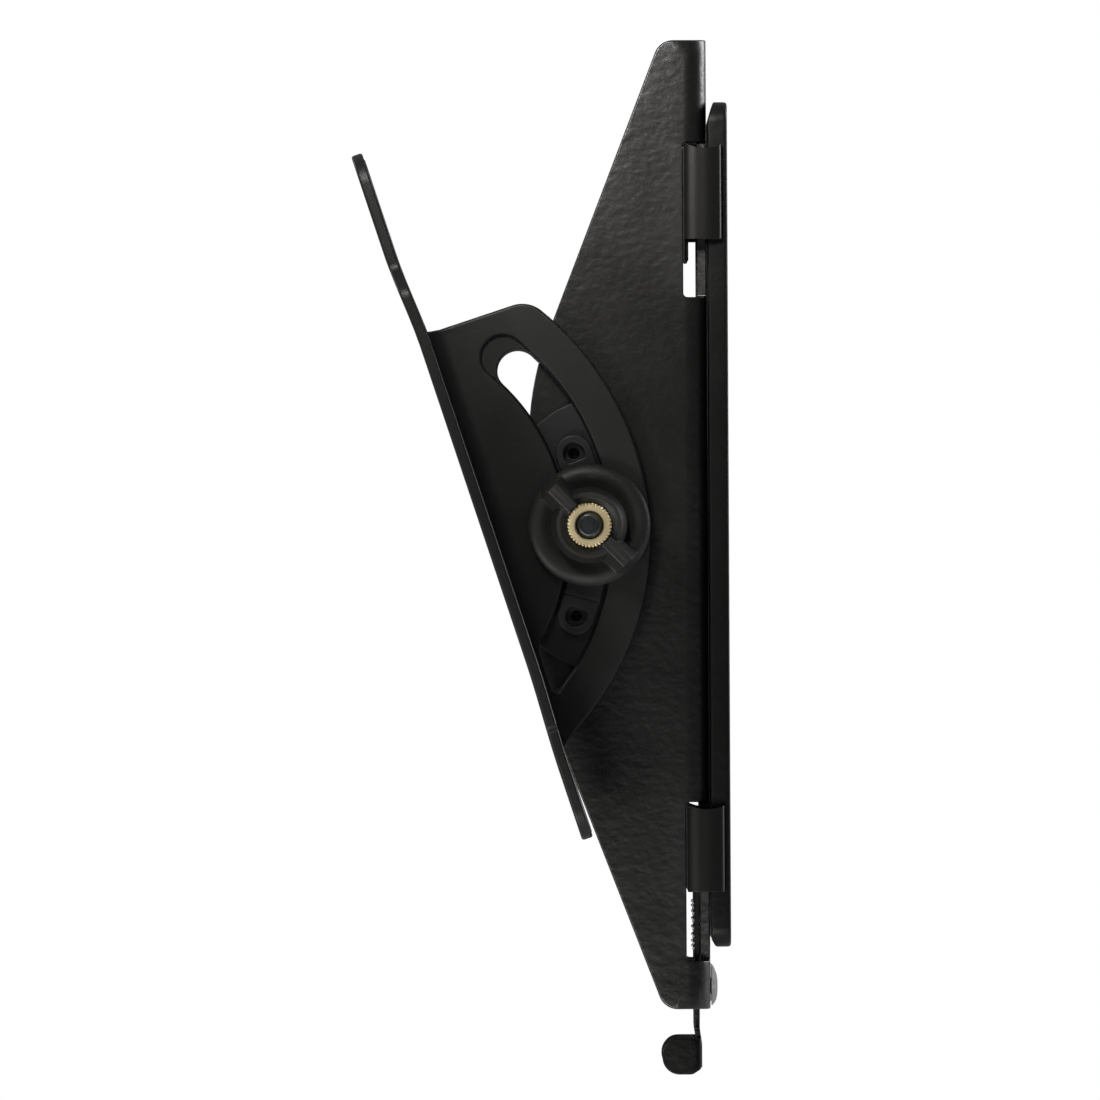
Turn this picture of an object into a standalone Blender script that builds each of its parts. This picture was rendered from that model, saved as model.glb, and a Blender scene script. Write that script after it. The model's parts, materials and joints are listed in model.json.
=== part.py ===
"""Tilting wall bracket for a flat screen: a wall plate with two rails, and two arms that carry the screen.

Frame: the origin is the centre of the wall plate's back face, +Y points into the wall, +Z is up and
the room is on the -Y side. Lengths below are in millimetres and become metres when a vertex is made.
The right arm (+X) is modelled piece by piece; the left arm is its mirror image.
"""

import math

import bmesh
import bpy
from mathutils import Matrix, Vector

MM = 0.001
GAP = 0.3                    # clearance between neighbouring pieces
SHEET = 3.0                  # sheet steel of the arm channels
REST_TILT = 18.2             # degrees the screen leans out at the top, as modelled

# Wall plate: a flat back with its edges turned towards the room.
PLATE_WIDTH = 148.0
PLATE_HEIGHT = 258.4
PLATE_DEPTH = 6.0
PLATE_SHEET = 2.3
PLATE_CORNER = 6.0
PLATE_TOP_TAPER = (4.3, 123.4)     # reach at the top edge, and the height where the full depth starts
PLATE_BOTTOM_TAPER = (4.7, -126.9)
WINDOW_Z = 44.0              # cable windows above and below the middle
WINDOW_SIZE = (86.0, 40.0)
SCREW_SLOT = (24.0, 7.0)
SCREW_SLOTS = ((-45.0, 119.3), (45.0, 119.3), (0.0, 14.0), (0.0, -14.0), (-45.0, -119.3), (45.0, -119.3))

# Rails: tee sections whose front wall runs in front of the arms' webs.
RAIL_HALF_LENGTH = 71.4
RAIL_WALL = (12.0, 13.2)     # front wall, distances from the wall
RAIL_FOOT = (2.6, 4.6)
RAIL_FOOT_HALF = 8.5
TOP_RAIL = {"low": 80.6, "high": 116.6, "stem": (100.9, 103.4), "rivets": 107.3, "cap_low": 87.3}
BOTTOM_RAIL = {"low": -112.4, "high": -85.7, "stem": (-100.3, -97.8), "rivets": -104.2,
               "cap_low": -112.4}
RIVET_X = (-52.0, 0.0, 52.0)
RIVET_HEAD = 2.9
RIVET_RISE = 1.0
RIVET_SHANK = 1.7
RIVET_HOLE = 2.0
CAP_OUTER = 78.0             # outer face of the rail end caps
CAP_REAR = 1.9

# Arm channel: two side plates and a web next to the wall plate.
ARM_IN = 49.0
ARM_OUT = 75.0
ARM_REAR = 6.4
ARM_BEND = 7.0               # outer radius where the sides turn into the web
ARM_TOP = 148.2
ARM_FRONT = 61.1             # furthest reach of the side plates from the wall
ARM_END = 20.5               # reach at the top and bottom ends
ARM_SHOULDER = 43.2          # height where the slanted edges would meet the front edge
ARM_FRONT_RADIUS = 92.8
ARM_END_RADIUS = 6.0
TOP_CUT = (69.6, 117.0)
BOTTOM_CUT = (-133.5, -84.9)
CUT_REACH = 13.6
WEB_HALF = 7.5               # half width of the web that is left beside the cut-outs

# Tilt geometry: everything on the bracket's ear is round about the virtual pivot.
PIVOT_REACH = 113.5
PIVOT_Z = -3.5
SLOT_RADIUS = 70.9
SLOT_HALF = 6.75
SLOT_TOP = 32.8              # degrees, centre of the slot's closed end above the bracket's normal
LIP_HALF = 6.3               # the slot narrows to this behind a step in the sheet
LIP_TOP = 28.0
LIP_SHEET = 1.6
EAR_RADIUS = 89.3
EAR_TOP = 52.4
EAR_CORNER = 9.2
EAR_X = 78.0
STRIP_FRONT = 36.6           # from the virtual pivot to the strip's front face
STRIP_SHEET = 3.5
STRIP_BEND = 5.5             # inner radius between strip and ear
STRIP_OUT = 116.0
STRIP_TOP = 111.0
STRIP_BOTTOM = -109.4
TONGUE_X = (90.5, 109.5)
SHOULDERS = (-74.5, 74.5)
TOP_JOGGLE = 1.6             # the tongues stand this far proud of the middle
BOTTOM_JOGGLE = 0.9
JOGGLE_SPANS = ((48.5, 79.5), (-87.0, -52.0))
HOLE_LINE = 100.0            # the screen's screw holes, from the middle of the bracket
SCREEN_HOLE = 3.3

# Guide parts between the channel and the ear, centred a little above the pivot's level.
GUIDE_CENTRE = 0.5
GUIDE_X = (75.3, 77.7)
GUIDE_RADII = (61.5, 81.0)
GUIDE_HALF = 31.1
KEY_X = (78.0, 80.5, 81.3)   # back, ends, raised middle
KEY_HALF = 5.75
KEY_END = 20.5               # degrees to the centre of each round end and its hole
KEY_PAD = 15.9
KEY_HOLE = 3.0
KEY_HOLE_FLAT = 2.2

# Clamp: carriage bolt, washer, wing knob and its brass insert, on one axis.
CLAMP_REACH = 42.7
BOLT_RADIUS = 4.0
NECK_HALF = 3.95
KNOB_X = 81.7                # underside of the washer and of the knob's flange
FLANGE_RADIUS = 18.65
BOSS_RADIUS = 10.4
BOSS_HEIGHT = 12.6
INSERT_HEIGHT = 14.0
WASHER_RADIUS = 12.0
WASHER_SHEET = 1.5
INSERT_RADIUS = 6.9
INSERT_TEETH = 38
WING_HALF = (4.6, 1.9)       # half thickness at foot and top
WING_REACH = (17.6, 16.6)

# Latch: a sprung flat bar that slides on the web and ends in a finger tab.
LATCH_X = 62.0
LATCH_FACE = (9.7, 11.3)
LATCH_TOP = -100.6
LATCH_HEAD_HALF = 7.0
LATCH_STEM_HALF = 4.0
LATCH_SHOULDER = -151.0
TAB_X = (64.3, 66.0)
TAB_REACH = (9.0, 21.2)
TAB_Z = (-168.3, -157.3)
SPRING_SPAN = (-131.2, -115.3)
SPRING_RADIUS = 1.9
SPRING_WIRE = 0.42
SPRING_TURNS = 6
SPRING_REACH = 9.6
SPRING_WINDOW = (-131.5, -115.0)
SPRING_WINDOW_HALF = 3.1
STUD_Z = -145.0
STUD_SPREAD = 4.6
STUD_COLLAR = 1.9
STUD_HEAD = 3.2
STUD_SLOT = (-147.3, -134.8)
BUMPER_Z = -141.2


# ---------------------------------------------------------------- small tools

def clear_scene():
    for thing in list(bpy.data.objects):
        bpy.data.objects.remove(thing, do_unlink=True)


def material(name, colour, roughness, metallic):
    made = bpy.data.materials.new(name)
    made.use_nodes = True
    shader = made.node_tree.nodes["Principled BSDF"]
    shader.inputs["Base Color"].default_value = (*colour, 1.0)
    shader.inputs["Roughness"].default_value = roughness
    shader.inputs["Metallic"].default_value = metallic
    return made


def lay(axis, a, b, height):
    """A point from two in-plane coordinates and a height along the named axis, in metres."""
    places = {"X": (height, a, b), "Y": (a, height, b), "Z": (a, b, height)}
    return Vector(places[axis]) * MM


def polar(radius, degrees, centre=(0.0, 0.0)):
    angle = math.radians(degrees)
    return (centre[0] + radius * math.cos(angle), centre[1] + radius * math.sin(angle))


def arc(radius, start, end, steps, centre=(0.0, 0.0)):
    """Points on an arc in degrees, both ends included."""
    return [polar(radius, start + (end - start) * i / steps, centre) for i in range(steps + 1)]


def rounded(corners, step=24.0):
    """An outline from (a, b, radius) corners, with an arc of that radius in each."""
    outline = []
    count = len(corners)
    for i, (a, b, radius) in enumerate(corners):
        corner = Vector((a, b))
        if radius == 0.0:
            outline.append((a, b))
            continue
        before = (Vector(corners[i - 1][:2]) - corner).normalized()
        after = (Vector(corners[(i + 1) % count][:2]) - corner).normalized()
        half = before.angle(after) / 2.0
        bisector = (before + after).normalized()
        centre = corner + bisector * (radius / math.sin(half))
        start = corner + before * (radius / math.tan(half)) - centre
        end = corner + after * (radius / math.tan(half)) - centre
        turn = start.angle_signed(end)
        steps = max(2, math.ceil(abs(math.degrees(turn)) / step))
        for k in range(steps + 1):
            spoke = start.copy()
            spoke.rotate(Matrix.Rotation(-turn * k / steps, 2))
            outline.append(tuple(centre + spoke))
    return outline


def rectangle(low, high, radius=0.0):
    return rounded([(low[0], low[1], radius), (high[0], low[1], radius),
                    (high[0], high[1], radius), (low[0], high[1], radius)])


def mesh_object(name, rings, closed_ends, look=None):
    """Skins rings of points into a solid. A ring of one point is a pole."""
    build = bmesh.new()
    skin = [[build.verts.new(point) for point in ring] for ring in rings]
    pairs = list(zip(skin, skin[1:]))
    if not closed_ends:
        pairs.append((skin[-1], skin[0]))
    for near, far in pairs:
        count = max(len(near), len(far))
        for i in range(count):
            j = (i + 1) % count
            if len(near) == 1:
                build.faces.new((near[0], far[j], far[i]))
            elif len(far) == 1:
                build.faces.new((near[i], near[j], far[0]))
            else:
                build.faces.new((near[i], near[j], far[j], far[i]))
    if closed_ends:
        for end in (skin[0], skin[-1]):
            if len(end) > 2:
                build.faces.new(end)
    bmesh.ops.recalc_face_normals(build, faces=build.faces)
    mesh = bpy.data.meshes.new(name)
    build.to_mesh(mesh)
    build.free()
    made = bpy.data.objects.new(name, mesh)
    bpy.context.scene.collection.objects.link(made)
    if look:
        mesh.materials.append(look)
    return made


def prism(name, outline, low, high, axis, look=None):
    """A flat outline pushed from low to high along an axis."""
    rings = [[lay(axis, a, b, height) for a, b in outline] for height in (low, high)]
    return mesh_object(name, rings, True, look)


def box(name, low, high, look=None):
    return prism(name, rectangle(low[:2], high[:2]), low[2], high[2], "Z", look)


def lathe(name, profile, axis, centre, segments, look=None, ring=False):
    """Turns (radius, height) points about an axis. A ring's profile is a closed loop round its bore."""
    rings = []
    for radius, height in profile:
        if radius == 0.0:
            rings.append([lay(axis, centre[0], centre[1], height)])
            continue
        rings.append([lay(axis, *polar(radius, 360.0 * i / segments, centre), height)
                      for i in range(segments)])
    return mesh_object(name, rings, not ring, look)


def pin(radius, low, high, axis, centre, segments=20, name="cutter"):
    profile = [(0.0, low), (radius, low), (radius, high), (0.0, high)]
    return lathe(name, profile, axis, centre, segments)


def combine(target, operation, tools):
    """Applies one exact Boolean per tool and removes the tools."""
    for tool in tools:
        tool.hide_render = True
        tool.display_type = "WIRE"
        step = target.modifiers.new(operation.lower(), "BOOLEAN")
        step.operation = operation
        step.solver = "EXACT"
        step.object = tool
        bpy.context.view_layer.update()
        evaluated = target.evaluated_get(bpy.context.evaluated_depsgraph_get())
        result = bpy.data.meshes.new_from_object(evaluated)
        target.modifiers.clear()
        target.data = result
        bpy.data.objects.remove(tool, do_unlink=True)
    return target


def cut(target, *tools):
    return combine(target, "DIFFERENCE", tools)


def join(target, *tools):
    return combine(target, "UNION", tools)


def smooth(piece, degrees=32.0):
    piece.data.shade_smooth()
    piece.data.set_sharp_from_angle(angle=math.radians(degrees))
    return piece


def pivot(name, place=(0.0, 0.0, 0.0), tilt=0.0):
    """An empty on a joint's axis, which carries the pieces that move about it."""
    made = bpy.data.objects.new(name, None)
    made.location = Vector(place) * MM
    made.rotation_euler.x = math.radians(tilt)
    bpy.context.scene.collection.objects.link(made)
    return made


# ---------------------------------------------------------------- wall side

def wall_plate(look):
    half_w = PLATE_WIDTH / 2.0
    half_h = PLATE_HEIGHT / 2.0
    plate = prism("wall_plate", rectangle((-half_w, -half_h), (half_w, half_h), PLATE_CORNER),
                  -PLATE_DEPTH, 0.0, "Y", look)
    inner_w = half_w - PLATE_SHEET
    inner_h = half_h - PLATE_SHEET
    pocket = prism("cutter", rectangle((-inner_w, -inner_h), (inner_w, inner_h),
                                       PLATE_CORNER - PLATE_SHEET),
                   -PLATE_DEPTH - 1.0, -PLATE_SHEET, "Y")
    cut(plate, pocket)
    combine(plate, "INTERSECT", [plate_side_tool()])
    for side in (-1, 1):
        low = (-WINDOW_SIZE[0] / 2.0, side * WINDOW_Z - WINDOW_SIZE[1] / 2.0)
        high = (WINDOW_SIZE[0] / 2.0, side * WINDOW_Z + WINDOW_SIZE[1] / 2.0)
        cut(plate, prism("cutter", rectangle(low, high, 8.0), -PLATE_DEPTH, 1.0, "Y"))
    for x, z in SCREW_SLOTS:
        low = (x - SCREW_SLOT[0] / 2.0, z - SCREW_SLOT[1] / 2.0)
        high = (x + SCREW_SLOT[0] / 2.0, z + SCREW_SLOT[1] / 2.0)
        slot = rectangle(low, high, SCREW_SLOT[1] / 2.0 - 0.05)
        cut(plate, prism("cutter", slot, -PLATE_DEPTH, 1.0, "Y"))
    for rail in (TOP_RAIL, BOTTOM_RAIL):
        for x in RIVET_X:
            cut(plate, pin(RIVET_HOLE, -PLATE_DEPTH, 1.0, "Y", (x, rail["rivets"]), 12))
    return smooth(plate)


def plate_side_tool():
    """The plate seen from the side: full depth in the middle, tapered at the top and bottom edges."""
    half_w = PLATE_WIDTH / 2.0 + 1.0
    half_h = PLATE_HEIGHT / 2.0
    top_reach, top_start = PLATE_TOP_TAPER
    bottom_reach, bottom_start = PLATE_BOTTOM_TAPER
    outline = rounded([
        (0.0, half_h, 1.6), (-top_reach, half_h, 0.8), (-PLATE_DEPTH, top_start, 4.0),
        (-PLATE_DEPTH, bottom_start, 1.0), (-bottom_reach, -half_h, 0.8), (0.0, -half_h, 1.0),
    ], step=30.0)
    return prism("cutter", outline, -half_w, half_w, "X")


def rail(name, sizes, look):
    stem_low, stem_high = sizes["stem"]
    middle = (stem_low + stem_high) / 2.0
    foot_rear, foot_front = RAIL_FOOT
    wall_rear, wall_front = RAIL_WALL
    outline = rounded([
        (-foot_rear, middle - RAIL_FOOT_HALF, 0.0), (-foot_front, middle - RAIL_FOOT_HALF, 0.0),
        (-foot_front, stem_low, 0.0), (-wall_rear, stem_low, 0.8),
        (-wall_rear, sizes["low"], 0.6), (-wall_front, sizes["low"], 0.6),
        (-wall_front, sizes["high"], 0.6), (-wall_rear, sizes["high"], 0.6),
        (-wall_rear, stem_high, 0.8), (-foot_front, stem_high, 0.0),
        (-foot_front, middle + RAIL_FOOT_HALF, 0.0), (-foot_rear, middle + RAIL_FOOT_HALF, 0.0),
    ], step=45.0)
    made = prism(name, outline, -RAIL_HALF_LENGTH, RAIL_HALF_LENGTH, "X", look)
    for x in RIVET_X:
        cut(made, pin(RIVET_HOLE, -foot_front - 1.0, -foot_rear + 1.0, "Y", (x, sizes["rivets"]), 12))
    return smooth(made)


def rail_rivet(name, x, z, look):
    head = RAIL_FOOT[1] + GAP
    top = head + RIVET_RISE
    profile = [(0.0, -0.3), (RIVET_SHANK, -0.3), (RIVET_SHANK, -head), (RIVET_HEAD, -head),
               (RIVET_HEAD, -head - 0.35), (RIVET_HEAD * 0.6, -top + 0.1), (0.0, -top)]
    return smooth(lathe(name, profile, "Y", (x, z), 12, look))


def rail_cap(name, sizes, look):
    """A moulded cap that closes a rail's end and wraps over the plate's edge."""
    inner = RAIL_HALF_LENGTH + GAP
    outside_plate = PLATE_WIDTH / 2.0 + GAP
    over_plate = PLATE_DEPTH + GAP
    outline = rounded([
        (inner, -RAIL_WALL[1], 0.4), (CAP_OUTER, -RAIL_WALL[1], 3.4), (CAP_OUTER, -CAP_REAR, 2.2),
        (outside_plate, -CAP_REAR, 0.0), (outside_plate, -over_plate, 0.0), (inner, -over_plate, 0.0),
    ])
    return smooth(prism(name, outline, sizes["cap_low"], sizes["high"], "Z", look))


# ---------------------------------------------------------------- arm channel

def channel(name, look):
    """A U of sheet steel: web by the wall, both side plates cut to the same long trapezoid."""
    inside = ARM_BEND - SHEET
    past_front = -ARM_FRONT - 5.0
    outline = [(ARM_IN, past_front)]
    outline += arc(ARM_BEND, 180.0, 90.0, 6, (ARM_IN + ARM_BEND, -ARM_REAR - ARM_BEND))
    outline += arc(ARM_BEND, 90.0, 0.0, 6, (ARM_OUT - ARM_BEND, -ARM_REAR - ARM_BEND))
    outline += [(ARM_OUT, past_front), (ARM_OUT - SHEET, past_front)]
    outline += arc(inside, 0.0, 90.0, 6, (ARM_OUT - ARM_BEND, -ARM_REAR - ARM_BEND))
    outline += arc(inside, 90.0, 180.0, 6, (ARM_IN + ARM_BEND, -ARM_REAR - ARM_BEND))
    outline += [(ARM_IN + SHEET, past_front)]
    made = prism(name, outline, -ARM_TOP - 2.0, ARM_TOP + 2.0, "Z", look)
    side = rounded([
        (5.0, ARM_TOP, 0.0), (-ARM_END, ARM_TOP, ARM_END_RADIUS),
        (-ARM_FRONT, ARM_SHOULDER, ARM_FRONT_RADIUS), (-ARM_FRONT, -ARM_SHOULDER, ARM_FRONT_RADIUS),
        (-ARM_END, -ARM_TOP, ARM_END_RADIUS), (5.0, -ARM_TOP, 0.0),
    ], step=3.5)
    combine(made, "INTERSECT", [prism("cutter", side, ARM_IN - 5.0, ARM_OUT + 5.0, "X")])
    for low, high in (TOP_CUT, BOTTOM_CUT):
        cut_sides(made, low, high)
    for rail_sizes, room_below, room_above in ((TOP_RAIL, 2.9, GAP), (BOTTOM_RAIL, 2.9, 2.9)):
        stem_low, stem_high = rail_sizes["stem"]
        cut(made, box("cutter", (LATCH_X - 20.0, -12.0, stem_low - room_below),
                      (LATCH_X + 20.0, -5.0, stem_high + room_above)))
    cut(made, box("cutter", (LATCH_X - SPRING_WINDOW_HALF, -12.0, SPRING_WINDOW[0]),
                  (LATCH_X + SPRING_WINDOW_HALF, -5.0, SPRING_WINDOW[1])))
    cut(made, pin(2.7, -12.0, -5.0, "Y", (LATCH_X, BUMPER_Z)))
    for side_x in (-STUD_SPREAD, STUD_SPREAD):
        cut(made, pin(1.7, -12.0, -5.0, "Y", (LATCH_X + side_x, STUD_Z), 12))
    neck = NECK_HALF + GAP
    cut(made, box("cutter", (ARM_OUT - 6.0, -CLAMP_REACH - neck, -neck),
                  (ARM_OUT + 6.0, -CLAMP_REACH + neck, neck)))
    for spot in key_hole_spots():
        cut(made, pin(1.7, ARM_OUT - 6.0, ARM_OUT + 6.0, "X", spot, 12))
    return smooth(made)


def cut_sides(made, low, high):
    """Opens both side plates and their bends over one rail, and leaves the web standing."""
    for near, far in ((ARM_IN - 5.0, LATCH_X - WEB_HALF), (LATCH_X + WEB_HALF, ARM_OUT + 5.0)):
        opening = rounded([(0.0, low, 0.0), (-CUT_REACH, low, 1.2), (-CUT_REACH, high, 1.2),
                           (0.0, high, 0.0)], step=30.0)
        cut(made, prism("cutter", opening, near, far, "X"))


def bumper(name, look):
    seat = -ARM_REAR + GAP
    profile = [(0.0, -4.2), (2.6, -4.3), (4.6, -4.8), (5.7, -5.5), (6.0, seat), (2.4, seat),
               (2.4, -ARM_REAR - SHEET), (0.0, -ARM_REAR - SHEET)]
    return smooth(lathe(name, profile, "Y", (LATCH_X, BUMPER_Z), 20, look))


# ---------------------------------------------------------------- guide and clamp

def key_hole_spots():
    """Where the two guide rivets pass, as (y, z)."""
    centre = (-PIVOT_REACH, PIVOT_Z)
    return [polar(SLOT_RADIUS, GUIDE_CENTRE + side * KEY_END, centre) for side in (1, -1)]


def guide_plate(name, look):
    centre = (-PIVOT_REACH, PIVOT_Z)
    low, high = GUIDE_RADII
    start = GUIDE_CENTRE - GUIDE_HALF
    end = GUIDE_CENTRE + GUIDE_HALF
    outline = arc(high, start, end, 16, centre)
    outline.append(polar((low + high) / 2.0, end + 0.9, centre))
    outline += arc(low, end, start, 16, centre)
    outline.append(polar((low + high) / 2.0, start - 0.9, centre))
    made = prism(name, outline, GUIDE_X[0], GUIDE_X[1], "X", look)
    neck = NECK_HALF + GAP
    cut(made, box("cutter", (GUIDE_X[0] - 1.0, -CLAMP_REACH - neck, -neck),
                  (GUIDE_X[1] + 1.0, -CLAMP_REACH + neck, neck)))
    for spot in key_hole_spots():
        cut(made, pin(1.7, GUIDE_X[0] - 1.0, GUIDE_X[1] + 1.0, "X", spot, 12))
    return smooth(made)


def slider_key(name, look):
    """The curved tongue that fills the ear's slot: raised in the middle, round at both ends."""
    centre = (-PIVOT_REACH, PIVOT_Z)
    start = GUIDE_CENTRE - KEY_END
    end = GUIDE_CENTRE + KEY_END
    outline = arc(SLOT_RADIUS + KEY_HALF, start, end, 14, centre)
    outline += arc(KEY_HALF, end, end + 180.0, 10, polar(SLOT_RADIUS, end, centre))[1:-1]
    outline += arc(SLOT_RADIUS - KEY_HALF, end, start, 14, centre)
    outline += arc(KEY_HALF, start + 180.0, start + 360.0, 10, polar(SLOT_RADIUS, start, centre))[1:-1]
    made = prism(name, outline, KEY_X[0], KEY_X[2], "X", look)
    for side in (1, -1):
        pad_end = GUIDE_CENTRE + side * KEY_PAD
        far_end = GUIDE_CENTRE + side * (KEY_PAD + 20.0)
        recess = arc(SLOT_RADIUS + 12.0, pad_end, far_end, 4, centre)
        recess += arc(SLOT_RADIUS - 12.0, far_end, pad_end, 4, centre)
        cut(made, prism("cutter", recess, KEY_X[1], KEY_X[2] + 1.0, "X"))
        spot = polar(SLOT_RADIUS, GUIDE_CENTRE + side * KEY_END, centre)
        cut(made, d_hole(spot, GUIDE_CENTRE + side * (KEY_END + 90.0)))
    cut(made, pin(BOLT_RADIUS + GAP, KEY_X[0] - 1.0, KEY_X[2] + 1.0, "X", (-CLAMP_REACH, 0.0), 32))
    return smooth(made)


def d_hole(spot, outward):
    """A round hole whose side towards the clamp is cut flat."""
    half = math.degrees(math.acos(KEY_HOLE_FLAT / KEY_HOLE))
    flat_side = outward + 180.0
    outline = arc(KEY_HOLE, flat_side + half, flat_side + 360.0 - half, 18, spot)
    return prism("cutter", outline, KEY_X[0] - 1.0, KEY_X[2] + 1.0, "X")


def guide_rivet(name, spot, look):
    tail = ARM_OUT - SHEET - GAP
    profile = [(0.0, tail - 1.0), (2.2, tail - 1.0), (2.2, tail), (1.3, tail), (1.3, KEY_X[0] + 0.1),
               (1.9, KEY_X[0] + 0.1), (1.9, KEY_X[0] + 0.7), (1.2, KEY_X[0] + 1.1), (0.0, KEY_X[0] + 1.2)]
    return smooth(lathe(name, profile, "X", spot, 12, look))


def carriage_bolt(name, look):
    """Modelled on the clamp axis: domed head inside the channel, square neck in the side plate."""
    head = ARM_OUT - SHEET - GAP
    tip = KNOB_X + INSERT_HEIGHT - GAP
    profile = [(0.0, head - 3.9), (4.6, head - 3.5), (7.4, head - 2.3), (8.6, head - 0.7), (8.6, head),
               (BOLT_RADIUS, head), (BOLT_RADIUS, tip - 1.2), (BOLT_RADIUS - 1.2, tip), (0.0, tip)]
    made = lathe(name, profile, "X", (0.0, 0.0), 24, look)
    neck = box("tool", (head - 0.5, -NECK_HALF, -NECK_HALF), (GUIDE_X[1] - GAP, NECK_HALF, NECK_HALF))
    return smooth(join(made, neck))


def clamp_washer(name, look):
    profile = [(BOLT_RADIUS + GAP, KNOB_X), (WASHER_RADIUS, KNOB_X),
               (WASHER_RADIUS, KNOB_X + WASHER_SHEET), (BOLT_RADIUS + GAP, KNOB_X + WASHER_SHEET)]
    return smooth(lathe(name, profile, "X", (0.0, 0.0), 28, look, ring=True))


def knob(name, look):
    """Dished round flange, short boss, and two tapered wings on one diagonal."""
    bore = INSERT_RADIUS + GAP
    washer_room = WASHER_RADIUS + GAP
    rim = FLANGE_RADIUS
    profile = [(bore, 1.8), (washer_room, 1.8), (washer_room, 0.0), (rim - 0.85, 0.0), (rim, 1.0),
               (rim, 2.6), (rim - 1.0, 4.4), (rim - 3.3, 5.1), (rim - 5.7, 4.3),
               (BOSS_RADIUS + 0.7, 3.8), (BOSS_RADIUS, 5.6), (BOSS_RADIUS - 0.2, BOSS_HEIGHT - 0.6),
               (BOSS_RADIUS - 0.7, BOSS_HEIGHT), (bore, BOSS_HEIGHT)]
    profile = [(radius, KNOB_X + height) for radius, height in profile]
    made = lathe(name, profile, "X", (0.0, 0.0), 40, look, ring=True)
    return smooth(join(made, wing(135.0), wing(-45.0)))


def wing(degrees):
    """One wing, thicker at its foot, pointing along the given direction in the (y, z) plane."""
    rings = []
    inner_end = INSERT_RADIUS + 2.0 * GAP
    for height, half, reach, inner in ((3.2, WING_HALF[0], WING_REACH[0], inner_end),
                                       (14.2, WING_HALF[1] + 0.1, WING_REACH[1] + 0.2, inner_end),
                                       (15.0, WING_HALF[1] - 0.5, WING_REACH[1] - 0.6, inner_end + 0.6)):
        ring = []
        for along, across in ((inner, -half), (reach, -half), (reach, half), (inner, half)):
            a, b = polar(1.0, degrees)
            ring.append(lay("X", along * a - across * b, along * b + across * a, KNOB_X + height))
        rings.append(ring)
    return mesh_object("tool", rings, True)


def knob_insert(name, look):
    """Brass insert with a knurled rim and a countersunk bore."""
    low = KNOB_X + 2.1
    high = KNOB_X + INSERT_HEIGHT
    rim = []
    for tooth in range(INSERT_TEETH):
        for share, radius in ((0.0, INSERT_RADIUS - 0.45), (0.5, INSERT_RADIUS)):
            rim.append(polar(radius, 360.0 * (tooth + share) / INSERT_TEETH))
    made = prism(name, rim, low, high, "X", look)
    bore = [(0.0, low - 1.0), (BOLT_RADIUS + GAP, low - 1.0), (BOLT_RADIUS + GAP, high - 0.9),
            (BOLT_RADIUS + 1.3, high + 0.1), (0.0, high + 0.1)]
    return smooth(cut(made, lathe("cutter", bore, "X", (0.0, 0.0), 24)))


# ---------------------------------------------------------------- tilt bracket

def tilt_bracket(name, look):
    """Screen strip and slotted ear, bent from one sheet. Modelled upright about the virtual pivot."""
    made = bent_sheet(name, look)
    combine(made, "INTERSECT", [strip_outline_tool()])
    through = EAR_X - 10.0
    step = EAR_X + LIP_SHEET
    cut(made, ear_waste_tool(), slot_tool(SLOT_HALF, SLOT_TOP, step),
        slot_tool(LIP_HALF, LIP_TOP, through))
    for z in (HOLE_LINE, -HOLE_LINE):
        cut(made, pin(SCREEN_HOLE, 20.0, 50.0, "Y", (HOLE_LINE, z), 20))
    for z in (HOLE_LINE / 2.0, -HOLE_LINE / 2.0):
        slot = rectangle((HOLE_LINE - 9.0, z - SCREEN_HOLE), (HOLE_LINE + 9.0, z + SCREEN_HOLE),
                         SCREEN_HOLE - 0.05)
        cut(made, prism("cutter", slot, 20.0, 50.0, "Y"))
    return smooth(made)


def bent_sheet(name, look):
    """The L of strip and ear swept along the strip, joggled where the tongues start."""
    outer = STRIP_BEND + STRIP_SHEET
    centre = (EAR_X + outer, STRIP_FRONT + outer)
    rear = STRIP_FRONT + STRIP_SHEET
    ear_end = EAR_RADIUS + 5.0
    section = [(STRIP_OUT + 5.0, STRIP_FRONT)]
    section += arc(outer, 270.0, 180.0, 6, centre)
    section += [(EAR_X, ear_end), (EAR_X + STRIP_SHEET, ear_end)]
    section += arc(STRIP_BEND, 180.0, 270.0, 6, centre)
    section += [(STRIP_OUT + 5.0, rear)]
    (top_start, top_end), (bottom_end, bottom_start) = JOGGLE_SPANS
    stations = [(-STRIP_TOP - 5.0, -BOTTOM_JOGGLE), (bottom_end, -BOTTOM_JOGGLE), (bottom_start, 0.0),
                (top_start, 0.0), (top_end, -TOP_JOGGLE), (STRIP_TOP + 5.0, -TOP_JOGGLE)]
    rings = [[lay("Z", x, w + shift, v) for x, w in section] for v, shift in stations]
    return mesh_object(name, rings, True, look)


def strip_outline_tool():
    """What the bracket covers when seen from the screen: wide middle, two tongues."""
    near, far = TONGUE_X
    inboard = EAR_X - 8.0
    above_ear = EAR_TOP + 2.6
    below_ear = -math.sqrt(EAR_RADIUS ** 2 - (STRIP_FRONT + STRIP_SHEET) ** 2) - 2.6
    outline = rounded([
        (near, STRIP_TOP, 9.4), (near, above_ear, 2.5), (inboard, above_ear, 0.0),
        (inboard, below_ear, 0.0), (near, below_ear, 2.5), (near, STRIP_BOTTOM, 9.4),
        (far, STRIP_BOTTOM, 9.4), (far, SHOULDERS[0], 1.0), (STRIP_OUT, SHOULDERS[0], 1.5),
        (STRIP_OUT, SHOULDERS[1] - 8.0, 6.0), (far, SHOULDERS[1], 4.0), (far, STRIP_TOP, 9.4),
    ])
    return prism("cutter", outline, 20.0, EAR_RADIUS + 10.0, "Y")


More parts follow.
